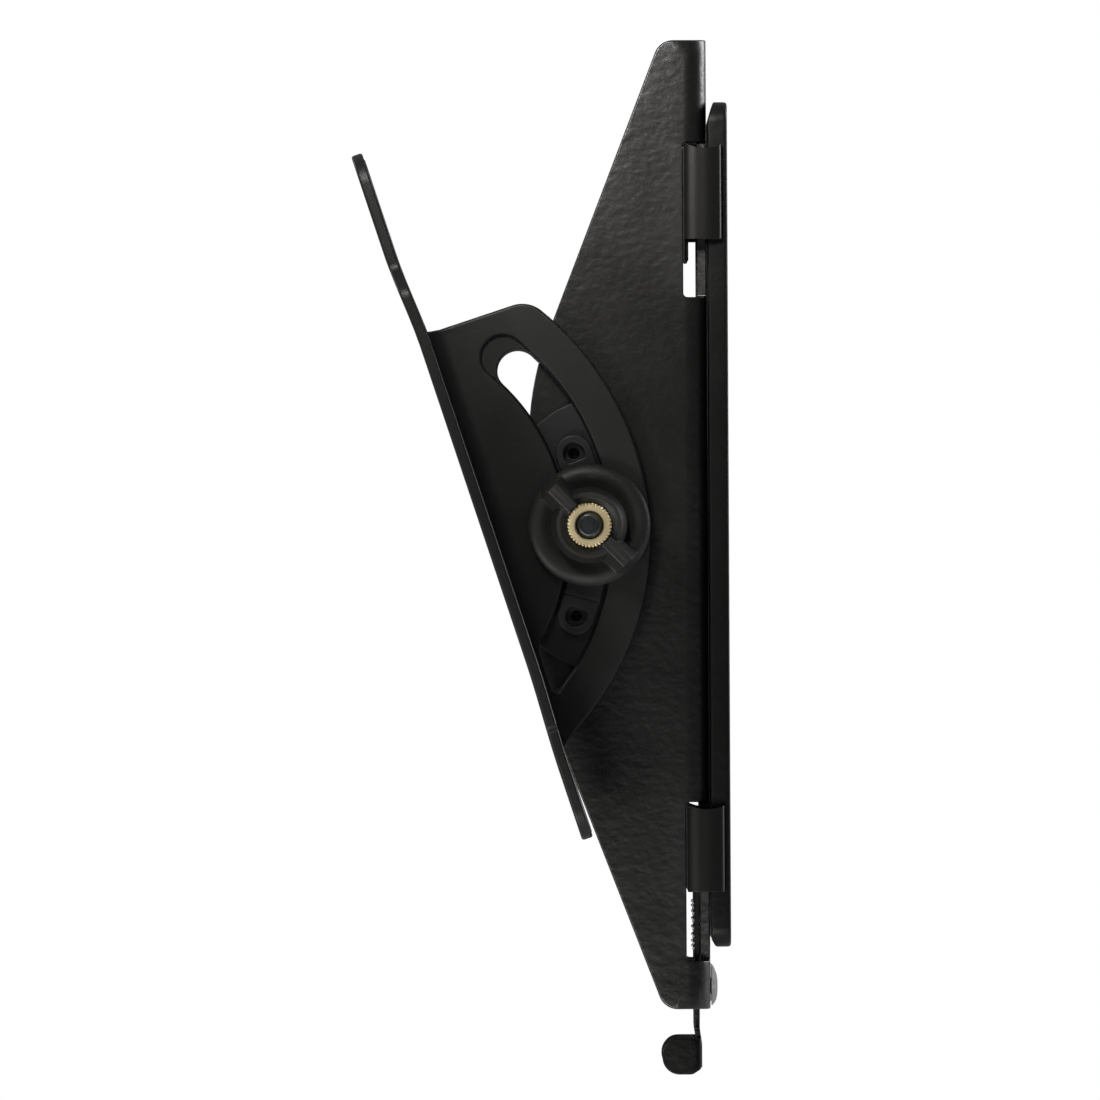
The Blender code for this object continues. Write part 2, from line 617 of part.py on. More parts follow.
def ear_waste_tool():
    """Everything behind the strip that lies outside the ear's outline, in the (w, v) plane."""
    rear = STRIP_FRONT + STRIP_SHEET
    tail = -math.degrees(math.acos(rear / EAR_RADIUS))
    corner_height = EAR_TOP - EAR_CORNER
    corner_reach = math.sqrt((EAR_RADIUS - EAR_CORNER) ** 2 - corner_height ** 2)
    corner_angle = math.degrees(math.atan2(corner_height, corner_reach))
    outline = arc(EAR_RADIUS, tail, corner_angle, 30)
    outline += arc(EAR_CORNER, corner_angle, 90.0, 6, (corner_reach, corner_height))[1:]
    outline += [(rear, EAR_TOP), (rear, 140.0), (140.0, 140.0), (140.0, -140.0), (rear, -140.0)]
    return prism("cutter", outline, EAR_X - 10.0, STRIP_OUT + 20.0, "X")


def slot_tool(half, top, low_x):
    """The arc slot from low_x outwards: closed at the top, run out into the strip's bend below."""
    rear = STRIP_FRONT + STRIP_SHEET
    outer = SLOT_RADIUS + half
    inner = SLOT_RADIUS - half
    outline = arc(outer, -math.degrees(math.acos(rear / outer)), top, 24)
    outline += arc(half, top, top + 180.0, 12, polar(SLOT_RADIUS, top))[1:-1]
    outline += arc(inner, top, -math.degrees(math.acos(rear / inner)), 22)
    return prism("cutter", outline, low_x, STRIP_OUT + 20.0, "X")


# ---------------------------------------------------------------- latch

def latch(name, look):
    """Flat bar with a wide head behind the bottom rail, a narrow stem and a finger tab."""
    rear, front = LATCH_FACE
    head_in, head_out = LATCH_X - LATCH_HEAD_HALF, LATCH_X + LATCH_HEAD_HALF
    stem_in, stem_out = LATCH_X - LATCH_STEM_HALF, LATCH_X + LATCH_STEM_HALF
    stem_top = LATCH_SHOULDER - 4.0
    shape = rounded([
        (head_in, LATCH_TOP, 1.5), (head_out, LATCH_TOP, 1.5),
        (head_out, LATCH_SHOULDER, 2.0), (stem_out, stem_top, 2.0),
        (stem_out, TAB_Z[0], 0.0), (stem_in, TAB_Z[0], 2.5),
        (stem_in, stem_top, 2.0), (head_in, LATCH_SHOULDER, 2.0),
    ], step=30.0)
    made = prism(name, shape, -front, -rear, "Y", look)
    tab = rounded([(-TAB_REACH[0], TAB_Z[0], 1.8), (-TAB_REACH[1], TAB_Z[0], 5.4),
                   (-TAB_REACH[1], TAB_Z[1], 5.4), (-TAB_REACH[0], TAB_Z[1], 3.0)])
    join(made, prism("tool", tab, TAB_X[0], TAB_X[1] + 0.2, "X"))
    cut(made, box("cutter", (LATCH_X - SPRING_WINDOW_HALF, -20.0, SPRING_WINDOW[0] - 0.5),
                  (LATCH_X + SPRING_WINDOW_HALF, -5.0, SPRING_WINDOW[1])))
    for side in (-STUD_SPREAD, STUD_SPREAD):
        half = STUD_COLLAR + 0.2
        slot = rectangle((LATCH_X + side - half, STUD_SLOT[0]), (LATCH_X + side + half, STUD_SLOT[1]),
                         half - 0.05)
        cut(made, prism("cutter", slot, -20.0, -5.0, "Y"))
    return smooth(made)


def latch_stud(name, x, look):
    """Shouldered stud in the web that guides the latch bar."""
    web_front = ARM_REAR + SHEET
    bar_front = LATCH_FACE[1] + GAP
    profile = [(0.0, -ARM_REAR - 0.1), (1.3, -ARM_REAR - 0.1), (1.3, -web_front - 0.1),
               (STUD_COLLAR, -web_front - 0.1), (STUD_COLLAR, -bar_front), (STUD_HEAD, -bar_front),
               (STUD_HEAD, -bar_front - 0.7), (2.2, -bar_front - 1.1), (0.0, -bar_front - 1.2)]
    return smooth(lathe(name, profile, "Y", (x, STUD_Z), 12, look))


def latch_spring(name, look):
    """Compression spring that stands in the windows of the web and the latch bar."""
    low, high = SPRING_SPAN
    rise = high - low - 2.0 * SPRING_WIRE
    steps = SPRING_TURNS * 12
    sides = 5
    rings = []
    for i in range(steps + 1):
        height = low + SPRING_WIRE + rise * i / steps
        angle = 2.0 * math.pi * SPRING_TURNS * i / steps
        outward = Vector((math.cos(angle), math.sin(angle), 0.0))
        centre = Vector((LATCH_X, -SPRING_REACH, height)) + outward * SPRING_RADIUS
        ring = []
        for k in range(sides):
            around = 2.0 * math.pi * k / sides
            ring.append((centre + outward * SPRING_WIRE * math.cos(around)
                         + Vector((0.0, 0.0, SPRING_WIRE * math.sin(around)))) * MM)
        rings.append(ring)
    return smooth(mesh_object(name, rings, True, look), 60.0)


# ---------------------------------------------------------------- assembly

def looks():
    return {
        "powder": material("black_powder_coat", (0.018, 0.018, 0.019), 0.42, 0.0),
        "plastic": material("black_plastic", (0.022, 0.022, 0.023), 0.5, 0.0),
        "rubber": material("black_rubber", (0.03, 0.03, 0.03), 0.75, 0.0),
        "steel": material("zinc_steel", (0.45, 0.45, 0.46), 0.35, 1.0),
        "brass": material("brass", (0.78, 0.56, 0.25), 0.3, 1.0),
    }


def wall_side(look):
    wall_plate(look["powder"])
    for place, sizes in (("top", TOP_RAIL), ("bottom", BOTTOM_RAIL)):
        rail(f"{place}_rail", sizes, look["powder"])
        for spot, x in zip(("left", "centre", "right"), RIVET_X):
            rail_rivet(f"{place}_rail_rivet_{spot}", x, sizes["rivets"], look["steel"])
        cap = rail_cap(f"right_{place}_rail_cap", sizes, look["plastic"])
        mirrored(cap, f"left_{place}_rail_cap", None)


def right_arm(look):
    """Every piece of the right arm, as (piece, the empty that carries it)."""
    slide = pivot("right_arm_slide")
    tilt = pivot("right_tilt_axis", (0.0, -PIVOT_REACH, PIVOT_Z), REST_TILT)
    clamp = pivot("right_clamp_axis", (0.0, -CLAMP_REACH, 0.0))
    pull = pivot("right_latch_slide")
    pieces = [
        (channel("right_arm_channel", look["powder"]), slide),
        (guide_plate("right_guide_plate", look["plastic"]), slide),
        (slider_key("right_slider_key", look["plastic"]), slide),
        (carriage_bolt("right_carriage_bolt", look["steel"]), clamp),
        (bumper("right_bumper", look["rubber"]), slide),
        (latch_stud("right_latch_stud_inner", LATCH_X - STUD_SPREAD, look["steel"]), slide),
        (latch_stud("right_latch_stud_outer", LATCH_X + STUD_SPREAD, look["steel"]), slide),
        (latch_spring("right_latch_spring", look["steel"]), slide),
        (tilt_bracket("right_tilt_bracket", look["powder"]), tilt),
        (clamp_washer("right_clamp_washer", look["steel"]), clamp),
        (knob("right_knob", look["plastic"]), clamp),
        (knob_insert("right_knob_insert", look["brass"]), clamp),
        (latch("right_latch", look["powder"]), pull),
    ]
    for spot, name in zip(key_hole_spots(), ("upper", "lower")):
        pieces.append((guide_rivet(f"right_guide_rivet_{name}", spot, look["steel"]), slide))
    for piece, carrier in pieces:
        piece.parent = carrier
    return pieces


def mirrored(piece, name, carrier):
    """The same piece on the other side of the middle plane."""
    mesh = piece.data.copy()
    mesh.transform(Matrix.Scale(-1.0, 4, Vector((1.0, 0.0, 0.0))))
    mesh.flip_normals()
    made = bpy.data.objects.new(name, mesh)
    bpy.context.scene.collection.objects.link(made)
    made.parent = carrier
    return made


def left_arm(right_pieces):
    carriers = {}
    for piece, carrier in right_pieces:
        if carrier not in carriers:
            twin = carrier.copy()
            twin.name = carrier.name.replace("right", "left")
            bpy.context.scene.collection.objects.link(twin)
            carriers[carrier] = twin
        mirrored(piece, piece.name.replace("right", "left"), carriers[carrier])


def main():
    clear_scene()
    look = looks()
    wall_side(look)
    left_arm(right_arm(look))


main()
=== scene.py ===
"""Looks for the tilting wall bracket: powder-coated sheet steel, moulded plastic, brass and zinc.

Lengths in the tables and functions below are millimetres, and become metres when a vertex is made.
Every piece of the right arm is built once and mirrored for the left arm.
"""

import json
import math

import bmesh
import bpy
from mathutils import Matrix, Quaternion, Vector
from mathutils.geometry import delaunay_2d_cdt

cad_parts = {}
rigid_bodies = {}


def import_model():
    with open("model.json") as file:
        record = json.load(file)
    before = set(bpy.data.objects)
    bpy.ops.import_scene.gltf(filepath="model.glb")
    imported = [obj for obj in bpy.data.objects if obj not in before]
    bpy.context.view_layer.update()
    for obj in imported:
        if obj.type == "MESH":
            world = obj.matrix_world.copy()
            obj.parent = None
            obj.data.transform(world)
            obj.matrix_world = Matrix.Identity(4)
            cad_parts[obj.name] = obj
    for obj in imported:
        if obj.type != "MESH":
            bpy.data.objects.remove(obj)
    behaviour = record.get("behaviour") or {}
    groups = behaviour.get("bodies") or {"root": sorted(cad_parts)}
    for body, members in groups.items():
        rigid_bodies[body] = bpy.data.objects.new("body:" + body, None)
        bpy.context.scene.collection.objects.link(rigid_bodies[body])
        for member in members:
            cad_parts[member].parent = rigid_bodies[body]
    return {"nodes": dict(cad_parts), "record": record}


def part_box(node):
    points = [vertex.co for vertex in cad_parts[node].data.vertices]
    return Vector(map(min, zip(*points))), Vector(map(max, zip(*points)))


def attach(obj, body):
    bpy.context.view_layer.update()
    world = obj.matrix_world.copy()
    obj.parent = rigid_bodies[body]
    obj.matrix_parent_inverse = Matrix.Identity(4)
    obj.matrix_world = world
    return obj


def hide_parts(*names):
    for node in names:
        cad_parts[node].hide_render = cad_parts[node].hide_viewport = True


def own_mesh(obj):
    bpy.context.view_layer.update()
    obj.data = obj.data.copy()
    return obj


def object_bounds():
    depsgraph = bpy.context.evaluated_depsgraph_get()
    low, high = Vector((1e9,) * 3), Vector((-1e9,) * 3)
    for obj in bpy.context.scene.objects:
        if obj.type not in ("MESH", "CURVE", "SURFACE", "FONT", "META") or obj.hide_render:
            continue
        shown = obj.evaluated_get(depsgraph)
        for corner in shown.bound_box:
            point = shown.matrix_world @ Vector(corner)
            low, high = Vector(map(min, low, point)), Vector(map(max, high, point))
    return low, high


MM = 0.001

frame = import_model()
cad_box = [list(corner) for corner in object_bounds()]
nodes = frame["nodes"]


def span(name, axis):
    """Lowest and highest place of a CAD node on one axis (0 X, 1 Y, 2 Z), in millimetres."""
    low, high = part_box(name)
    return low[axis] / MM, high[axis] / MM


# ---------------------------------------------------------------- materials

class Nodes:
    """A material with its node tree, and short calls to add nodes to it."""

    def __init__(self, name):
        self.material = bpy.data.materials.new(name)
        self.material.use_nodes = True
        self.tree = self.material.node_tree
        self.shader = self.tree.nodes["Principled BSDF"]
        self.place = self.add("ShaderNodeTexCoord").outputs["Object"]

    def add(self, kind, **settings):
        made = self.tree.nodes.new(kind)
        for key, value in settings.items():
            setattr(made, key, value)
        return made

    def link(self, source, target):
        self.tree.links.new(source, target)

    def feed(self, value, socket):
        if isinstance(value, tuple):
            socket.default_value = (*value, 1.0)
        elif isinstance(value, (int, float)):
            socket.default_value = value
        else:
            self.link(value, socket)

    def noise(self, scale, detail=2.0, roughness=0.5, stretch=None):
        texture = self.add("ShaderNodeTexNoise")
        texture.inputs["Scale"].default_value = scale
        texture.inputs["Detail"].default_value = detail
        texture.inputs["Roughness"].default_value = roughness
        place = self.place
        if stretch:
            mapping = self.add("ShaderNodeMapping")
            mapping.inputs["Scale"].default_value = stretch
            self.link(place, mapping.inputs["Vector"])
            place = mapping.outputs["Vector"]
        self.link(place, texture.inputs["Vector"])
        return texture.outputs["Fac"]

    def ramp(self, source, low, high, out_low, out_high):
        spread = self.add("ShaderNodeMapRange")
        for key, value in (("From Min", low), ("From Max", high), ("To Min", out_low), ("To Max", out_high)):
            spread.inputs[key].default_value = value
        self.link(source, spread.inputs["Value"])
        return spread.outputs["Result"]

    def maths(self, operation, a, b):
        node = self.add("ShaderNodeMath", operation=operation)
        self.feed(a, node.inputs[0])
        self.feed(b, node.inputs[1])
        return node.outputs[0]

    def mix(self, share, a, b):
        node = self.add("ShaderNodeMix", data_type="RGBA")
        self.feed(share, node.inputs[0])
        self.feed(a, node.inputs[6])
        self.feed(b, node.inputs[7])
        return node.outputs[2]

    def bump(self, height, distance, normal=None):
        node = self.add("ShaderNodeBump")
        node.inputs["Strength"].default_value = 1.0
        node.inputs["Distance"].default_value = distance
        self.link(height, node.inputs["Height"])
        if normal is not None:
            self.link(normal, node.inputs["Normal"])
        return node.outputs["Normal"]

    def edges(self):
        """1 on worn convex edges, 0 elsewhere."""
        point = self.add("ShaderNodeNewGeometry").outputs["Pointiness"]
        return self.ramp(point, 0.505, 0.56, 0.0, 1.0)

    def set(self, **values):
        for key, value in values.items():
            self.feed(value, self.shader.inputs[key.replace("_", " ")])
        return self.material


def powder_coat(name, dark, light, rough_low, rough_high, wave=1.0, speck=1.0, gloss=0.5):
    """Satin black powder coat: orange peel, patchy gloss, a little grey on the worn edges."""
    n = Nodes(name)
    peel = n.noise(390.0, 1.0, 0.5, (1.0, 0.85, 1.15))
    ripple = n.noise(800.0, 1.0, 0.5)
    grain = n.noise(1900.0, 2.0, 0.6)
    patches = n.noise(38.0, 3.0, 0.6)
    normal = n.bump(grain, 0.000012 * speck, n.bump(ripple, 0.00002 * wave, n.bump(peel, 0.00011 * wave)))
    tone = n.mix(n.ramp(patches, 0.3, 0.7, 0.0, 1.0), dark, light)
    tone = n.mix(n.maths("MULTIPLY", n.edges(), 0.5), tone, (0.03, 0.03, 0.03))
    rough = n.ramp(n.maths("ADD", patches, n.maths("MULTIPLY", grain, 0.5)), 0.4, 1.1, rough_low, rough_high)
    return n.set(Base_Color=tone, Roughness=rough, Normal=normal, Specular_IOR_Level=gloss)


def moulded(name, dark, light, rough_low, rough_high):
    """Moulded plastic or rubber: fine spark texture, faint flow marks."""
    n = Nodes(name)
    texture = n.noise(900.0, 4.0, 0.7)
    flow = n.noise(60.0, 3.0, 0.55)
    tone = n.mix(n.ramp(flow, 0.3, 0.7, 0.0, 1.0), dark, light)
    tone = n.mix(n.maths("MULTIPLY", n.edges(), 0.35), tone, tuple(min(1.0, 3.0 * c) for c in light))
    rough = n.ramp(texture, 0.25, 0.75, rough_low, rough_high)
    return n.set(Base_Color=tone, Roughness=rough, Normal=n.bump(texture, 0.00003))


def metal(name, dark, light, rough_low, rough_high, metallic=1.0):
    """Plated or turned metal: cloudy tone, fine tool marks in the roughness."""
    n = Nodes(name)
    cloud = n.noise(160.0, 4.0, 0.6)
    fine = n.noise(3200.0, 2.0, 0.6)
    tone = n.mix(n.ramp(cloud, 0.3, 0.7, 0.0, 1.0), dark, light)
    rough = n.ramp(fine, 0.3, 0.7, rough_low, rough_high)
    return n.set(Base_Color=tone, Metallic=metallic, Roughness=rough, Normal=n.bump(fine, 0.000008))


POWDER = powder_coat("powder_coat", (0.0040, 0.0038, 0.0036), (0.0060, 0.0058, 0.0055), 0.30, 0.37, gloss=0.95)
BRACKET_COAT = powder_coat("powder_coat_bracket", (0.0100, 0.0100, 0.0100), (0.0140, 0.0140, 0.0140), 0.40, 0.50,
                           0.3, 2.2)
PLATE_COAT = powder_coat("powder_coat_plate", (0.0030, 0.0029, 0.0028), (0.0045, 0.0043, 0.0042), 0.34, 0.42, gloss=0.3)
LATCH_COAT = powder_coat("powder_coat_latch", (0.0030, 0.0029, 0.0028), (0.0045, 0.0043, 0.0042), 0.34, 0.42, gloss=0.3)
PLASTIC = moulded("satin_plastic", (0.016, 0.016, 0.0155), (0.026, 0.0255, 0.025), 0.42, 0.58)
CAP_PLASTIC = moulded("cap_plastic", (0.0045, 0.0044, 0.0042), (0.0070, 0.0068, 0.0065), 0.38, 0.46)
NYLON = moulded("nylon", (0.010, 0.010, 0.011), (0.016, 0.016, 0.017), 0.38, 0.5)
RUBBER = moulded("rubber", (0.26, 0.26, 0.26), (0.36, 0.36, 0.36), 0.5, 0.7)
ZINC = metal("zinc", (0.48, 0.50, 0.53), (0.62, 0.64, 0.66), 0.22, 0.38)
DARK_STEEL = metal("dark_steel", (0.11, 0.12, 0.13), (0.20, 0.21, 0.23), 0.25, 0.4)
BLACK_STEEL = metal("black_steel", (0.006, 0.006, 0.0065), (0.010, 0.010, 0.011), 0.4, 0.55)
BRASS = metal("brass", (0.82, 0.67, 0.38), (0.95, 0.82, 0.52), 0.42, 0.55, 0.6)


# ---------------------------------------------------------------- outlines

def polar(radius, degrees, centre=(0.0, 0.0)):
    angle = math.radians(degrees)
    return (centre[0] + radius * math.cos(angle), centre[1] + radius * math.sin(angle))


def arc(radius, start, end, steps, centre=(0.0, 0.0)):
    """Points on an arc in degrees, both ends included."""
    return [polar(radius, start + (end - start) * i / steps, centre) for i in range(steps + 1)]


def rounded(corners, step=7.5):
    """An outline from (a, b, radius) corners, with an arc of that radius in each."""
    outline = []
    count = len(corners)
    for i, (a, b, radius) in enumerate(corners):
        corner = Vector((a, b))
        if radius == 0.0:
            outline.append((a, b))
            continue
        before = (Vector(corners[i - 1][:2]) - corner).normalized()
        after = (Vector(corners[(i + 1) % count][:2]) - corner).normalized()
        half = before.angle(after) / 2.0
        centre = corner + (before + after).normalized() * (radius / math.sin(half))
        start = corner + before * (radius / math.tan(half)) - centre
        end = corner + after * (radius / math.tan(half)) - centre
        turn = start.angle_signed(end)
        steps = max(2, math.ceil(abs(math.degrees(turn)) / step))
        for k in range(steps + 1):
            spoke = start.copy()
            spoke.rotate(Matrix.Rotation(-turn * k / steps, 2))
            outline.append(tuple(centre + spoke))
    return outline


def rectangle(low, high, radius, step=15.0):
    return rounded([(low[0], low[1], radius), (high[0], low[1], radius),
                    (high[0], high[1], radius), (low[0], high[1], radius)], step)


def area(loop):
    return sum(a[0] * b[1] - b[0] * a[1] for a, b in zip(loop, loop[1:] + loop[:1])) / 2.0


def turned(loop, counterclockwise=True):
    return loop if (area(loop) > 0.0) == counterclockwise else loop[::-1]


def dense(loop, longest):
    """The same outline with no edge longer than the given length."""
    out = []
    for a, b in zip(loop, loop[1:] + loop[:1]):
        steps = max(1, math.ceil(math.dist(a, b) / longest))
        out += [(a[0] + (b[0] - a[0]) * i / steps, a[1] + (b[1] - a[1]) * i / steps) for i in range(steps)]
    return out


def inset(loop, amount):
    """Moves a counterclockwise outline inwards, or a clockwise hole outwards, by the amount."""
    if amount == 0.0:
        return list(loop)
    out = []
    count = len(loop)
    for i, point in enumerate(loop):
        before = Vector(point) - Vector(loop[i - 1])
        after = Vector(loop[(i + 1) % count]) - Vector(point)
        normals = [Vector((-edge.y, edge.x)).normalized() for edge in (before, after) if edge.length > 1e-6]
        middle = sum(normals, Vector((0.0, 0.0)))
        middle.normalize()
        share = max(0.35, middle.dot(normals[0]))
        out.append(tuple(Vector(point) + middle * (amount / share)))
    return out


def inside(point, loop):
    found = False
    for (ax, ay), (bx, by) in zip(loop, loop[1:] + loop[:1]):
        if (ay > point[1]) != (by > point[1]):
            if point[0] < ax + (bx - ax) * (point[1] - ay) / (by - ay):
                found = not found
    return found


def rolled(loop, low, high, radius, steps=4):
    """Rings of an upright wall from high to low, both edges rounded, as (outline, height)."""
    rings = []
    for i in range(steps + 1):
        turn = math.pi / 2.0 * i / steps
        rings.append((inset(loop, radius * (1.0 - math.sin(turn))), high - radius * (1.0 - math.cos(turn))))
    for i in range(steps, -1, -1):
        turn = math.pi / 2.0 * i / steps
        rings.append((inset(loop, radius * (1.0 - math.sin(turn))), low + radius * (1.0 - math.cos(turn))))
    return rings


# ---------------------------------------------------------------- meshes

def finish_mesh(build, name, look, weighted=True, sharp=None):
    bmesh.ops.recalc_face_normals(build, faces=build.faces)
    mesh = bpy.data.meshes.new(name)
    build.to_mesh(mesh)
    build.free()
    mesh.materials.append(look)
    mesh.shade_smooth()
    if sharp:
        mesh.set_sharp_from_angle(angle=math.radians(sharp))
    made = bpy.data.objects.new(name, mesh)
    bpy.context.scene.collection.objects.link(made)
    if weighted:
        made.modifiers.new("normals", "WEIGHTED_NORMAL").keep_sharp = True
    return made


def fill(build, loops, verts, place, height, points):
    """Closes the area inside the first loop and outside the others with triangles."""
    flat = [Vector(p) for loop in loops for p in loop]
    edges = []
    start = 0
    for loop in loops:
        count = len(loop)
        edges += [(start + i, start + (i + 1) % count) for i in range(count)]
        start += count
    known = [v for ring in verts for v in ring]
    extra = [p for p in points if inside(p, loops[0]) and not any(inside(p, hole) for hole in loops[1:])]
    flat += [Vector(p) for p in extra]
    known += [build.verts.new(place(p[0], p[1], height) * MM) for p in extra]
    result = delaunay_2d_cdt(flat, edges, [], 1, 1e-7)
    origin = [sources[0] if sources else None for sources in result[3]]
    for face in result[2]:
        middle = sum((result[0][i] for i in face), Vector((0.0, 0.0))) / len(face)
        if not inside(middle, loops[0]) or any(inside(middle, hole) for hole in loops[1:]):
            continue
        corners = [known[origin[i]] for i in face if origin[i] is not None]
        if len(corners) == 3:
            try:
                build.faces.new(corners)
            except ValueError:
                pass
    return [v for v in known if not v.link_faces]


def skin(name, walls, place, look, points=(), sharp=None):
    """A closed body from walls: each is a list of (outline, height) rings, the first wall outside."""
    build = bmesh.new()
    skins = []
    for rings in walls:
        made = [[build.verts.new(place(a, b, height) * MM) for a, b in loop] for loop, height in rings]
        for near, far in zip(made, made[1:]):
            count = len(near)
            for i in range(count):
                build.faces.new((near[i], near[(i + 1) % count], far[(i + 1) % count], far[i]))
        skins.append(made)
    loose = []
    for end in (0, -1):
        loose += fill(build, [rings[end][0] for rings in walls], [made[end] for made in skins],
                      place, walls[0][end][1], points)
    for vert in set(loose):
        build.verts.remove(vert)
    return finish_mesh(build, name, look, sharp=sharp)


PLACES = {
    "X": lambda a, b, height: Vector((height, a, b)),
    "Y": lambda a, b, height: Vector((a, height, b)),
    "Z": lambda a, b, height: Vector((a, b, height)),
}


def block(name, outline, holes, low, high, axis, radius, look, hole_radius=None, longest=None):
    """A prism with rounded edges and rounded holes."""
    loops = [turned(outline)] + [turned(hole, False) for hole in holes]
    if longest:
        loops = [dense(loop, longest) for loop in loops]
    walls = [rolled(loop, low, high, radius if i == 0 else (hole_radius or radius))
             for i, loop in enumerate(loops)]
    return skin(name, walls, PLACES[axis], look)


def lathe(name, profile, axis, centre, segments, look, closed=False, sharp=35.0, wobble=None):
    """Turns (radius, height) points about an axis; a closed profile is a ring round its bore."""
    build = bmesh.new()
    rings = []
    for radius, height in profile:
        count = 1 if radius == 0.0 else segments
        ring = []
        for i in range(count):
            a, b = polar(radius, 360.0 * i / segments, centre)
            ring.append(build.verts.new(PLACES[axis](a, b, height) * MM))
        rings.append(ring)
    pairs = list(zip(rings, rings[1:]))
    if closed:
        pairs.append((rings[-1], rings[0]))
    for near, far in pairs:
        for i in range(segments):
            j = (i + 1) % segments
            corners = (near[i % len(near)], near[j % len(near)], far[j % len(far)], far[i % len(far)])
            corners = tuple(dict.fromkeys(corners))
            if len(corners) > 2:
                build.faces.new(corners)
    return finish_mesh(build, name, look, sharp=sharp)


def curve_profile(points, radius=0.35, steps=4, closed=False):
    """Rounds the corners of a (radius, height) profile; points on the axis stay."""
    out = []
    count = len(points)
    for i, point in enumerate(points):
        here = Vector(point)
        ends = not closed and i in (0, count - 1)
        if ends or point[0] == 0.0:
            out.append(point)
            continue
        before = Vector(points[i - 1]) - here
        after = Vector(points[(i + 1) % count]) - here
        reach = min(radius, before.length * 0.45, after.length * 0.45)
        start = here + before.normalized() * reach
        end = here + after.normalized() * reach
        for k in range(steps + 1):
            t = k / steps
            out.append(tuple(start * (1 - t) ** 2 + here * 2 * t * (1 - t) + end * t ** 2))
    return out


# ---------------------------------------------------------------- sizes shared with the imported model

ARM_OUT = span("right_arm_channel", 0)[1]
ARM_IN = span("right_arm_channel", 0)[0]
ARM_REAR = -span("right_arm_channel", 1)[1]
ARM_FRONT = -span("right_arm_channel", 1)[0]
ARM_TOP = span("right_arm_channel", 2)[1]
SHEET = 3.0
ARM_BEND = 7.0
MIDDLE = (ARM_IN + ARM_OUT) / 2.0
PIVOT = (-113.5, -3.5)
TILT = math.radians(18.2)
CLAMP = (sum(span("right_knob", 1)) / 2.0, sum(span("right_knob", 2)) / 2.0)
SLOT_RADIUS = 70.9
GUIDE_CENTRE = 0.5
KEY_END = 20.5
KEY_HALF = 5.75


def key_spots():
    return [polar(SLOT_RADIUS, GUIDE_CENTRE + side * KEY_END, PIVOT) for side in (1, -1)]


# ---------------------------------------------------------------- arm channel

def arm_channel(name):
    """The U of sheet steel, cut out flat and bent: u runs across the U, v is the height."""
    half_web = MIDDLE + 0.0 - ARM_IN - ARM_BEND
    neutral = ARM_BEND - SHEET / 2.0
    bend = neutral * math.pi / 2.0
    flat_start = half_web + bend
    bend_reach = ARM_REAR + ARM_BEND

    def place(u, v, t):
        side = 1.0 if u > 0.0 else -1.0
        run = abs(u)
        if run <= half_web:
            return Vector((MIDDLE + u, -ARM_REAR - t, v))
        if run <= flat_start:
            turn = (run - half_web) / neutral
            reach = ARM_BEND - t
            return Vector((MIDDLE + side * (half_web + reach * math.sin(turn)),
                           -bend_reach + reach * math.cos(turn), v))
        return Vector((MIDDLE + side * (half_web + ARM_BEND - t), -bend_reach - run + flat_start, v))

    def across(y):
        """u on the outer side plate for a place y."""
        return flat_start - bend_reach - y

    end, shoulder, front, slope = 20.5, 43.2, across(-ARM_FRONT), 92.8
    corners = []
    for side, order in ((1.0, (-1.0, 1.0)), (-1.0, (1.0, -1.0))):
        for z in order:
            pair = [(side * across(-end), z * ARM_TOP, 6.0), (side * front, z * shoulder, slope)]
            corners += pair if (z < 0.0) == (side > 0.0) else pair[::-1]
    outline = turned(dense(rounded(corners, 2.5), 5.0))
    holes = []
    near, far = half_web + 1.35, across(-13.6)
    for low, high, stem_low, stem_high in ((69.6, 117.0, 98.0, 103.7), (-133.5, -84.9, -103.2, -94.9)):
        holes.append(rounded([
            (far, low, 1.2), (near, low, 0.6), (near, stem_low, 0.6), (-near, stem_low, 0.6), (-near, low, 0.6),
            (-far, low, 1.2), (-far, high, 1.2), (-near, high, 0.6), (-near, stem_high, 0.6),
            (near, stem_high, 0.6), (near, high, 0.6), (far, high, 1.2)], 30.0))
    holes.append(rectangle((-3.1, -131.5), (3.1, -115.0), 0.6, 30.0))
    holes.append(arc(2.7, 0.0, 348.75, 31, (0.0, -141.2)))
    holes += [arc(1.7, 0.0, 345.0, 23, (side * 4.6, -145.0)) for side in (-1, 1)]
    neck_u, neck = across(CLAMP[0]), 4.25
    holes.append(rectangle((neck_u - neck, -neck), (neck_u + neck, neck), 0.6, 30.0))
    holes += [arc(1.7, 0.0, 345.0, 23, (across(y), z)) for y, z in key_spots()]
    loops = [outline] + [dense(turned(hole, False), 1.6) for hole in holes]
    walls = [rolled(loop, 0.0, SHEET, 0.55 if i == 0 else 0.35, 3) for i, loop in enumerate(loops)]
    points = []
    rows = [ARM_TOP * 2.0 * (i / 74.0 - 0.5) for i in range(1, 74)]
    for side in (1.0, -1.0):
        for step in range(9):
            u = side * (half_web + bend * step / 8.0)
            points += [(u, v) for v in rows]
        points += [(side * (flat_start + d), v) for d in (2.0, 8.0, 16.0, 26.0, 36.0) for v in rows[::3]]
    points = [p for p in points if clear_of(p, loops, 0.7)]
    return skin(name, walls, place, POWDER, points)


def clear_of(point, loops, gap):
    return all(math.dist(point, other) > gap for loop in loops for other in loop)


# ---------------------------------------------------------------- tilt bracket

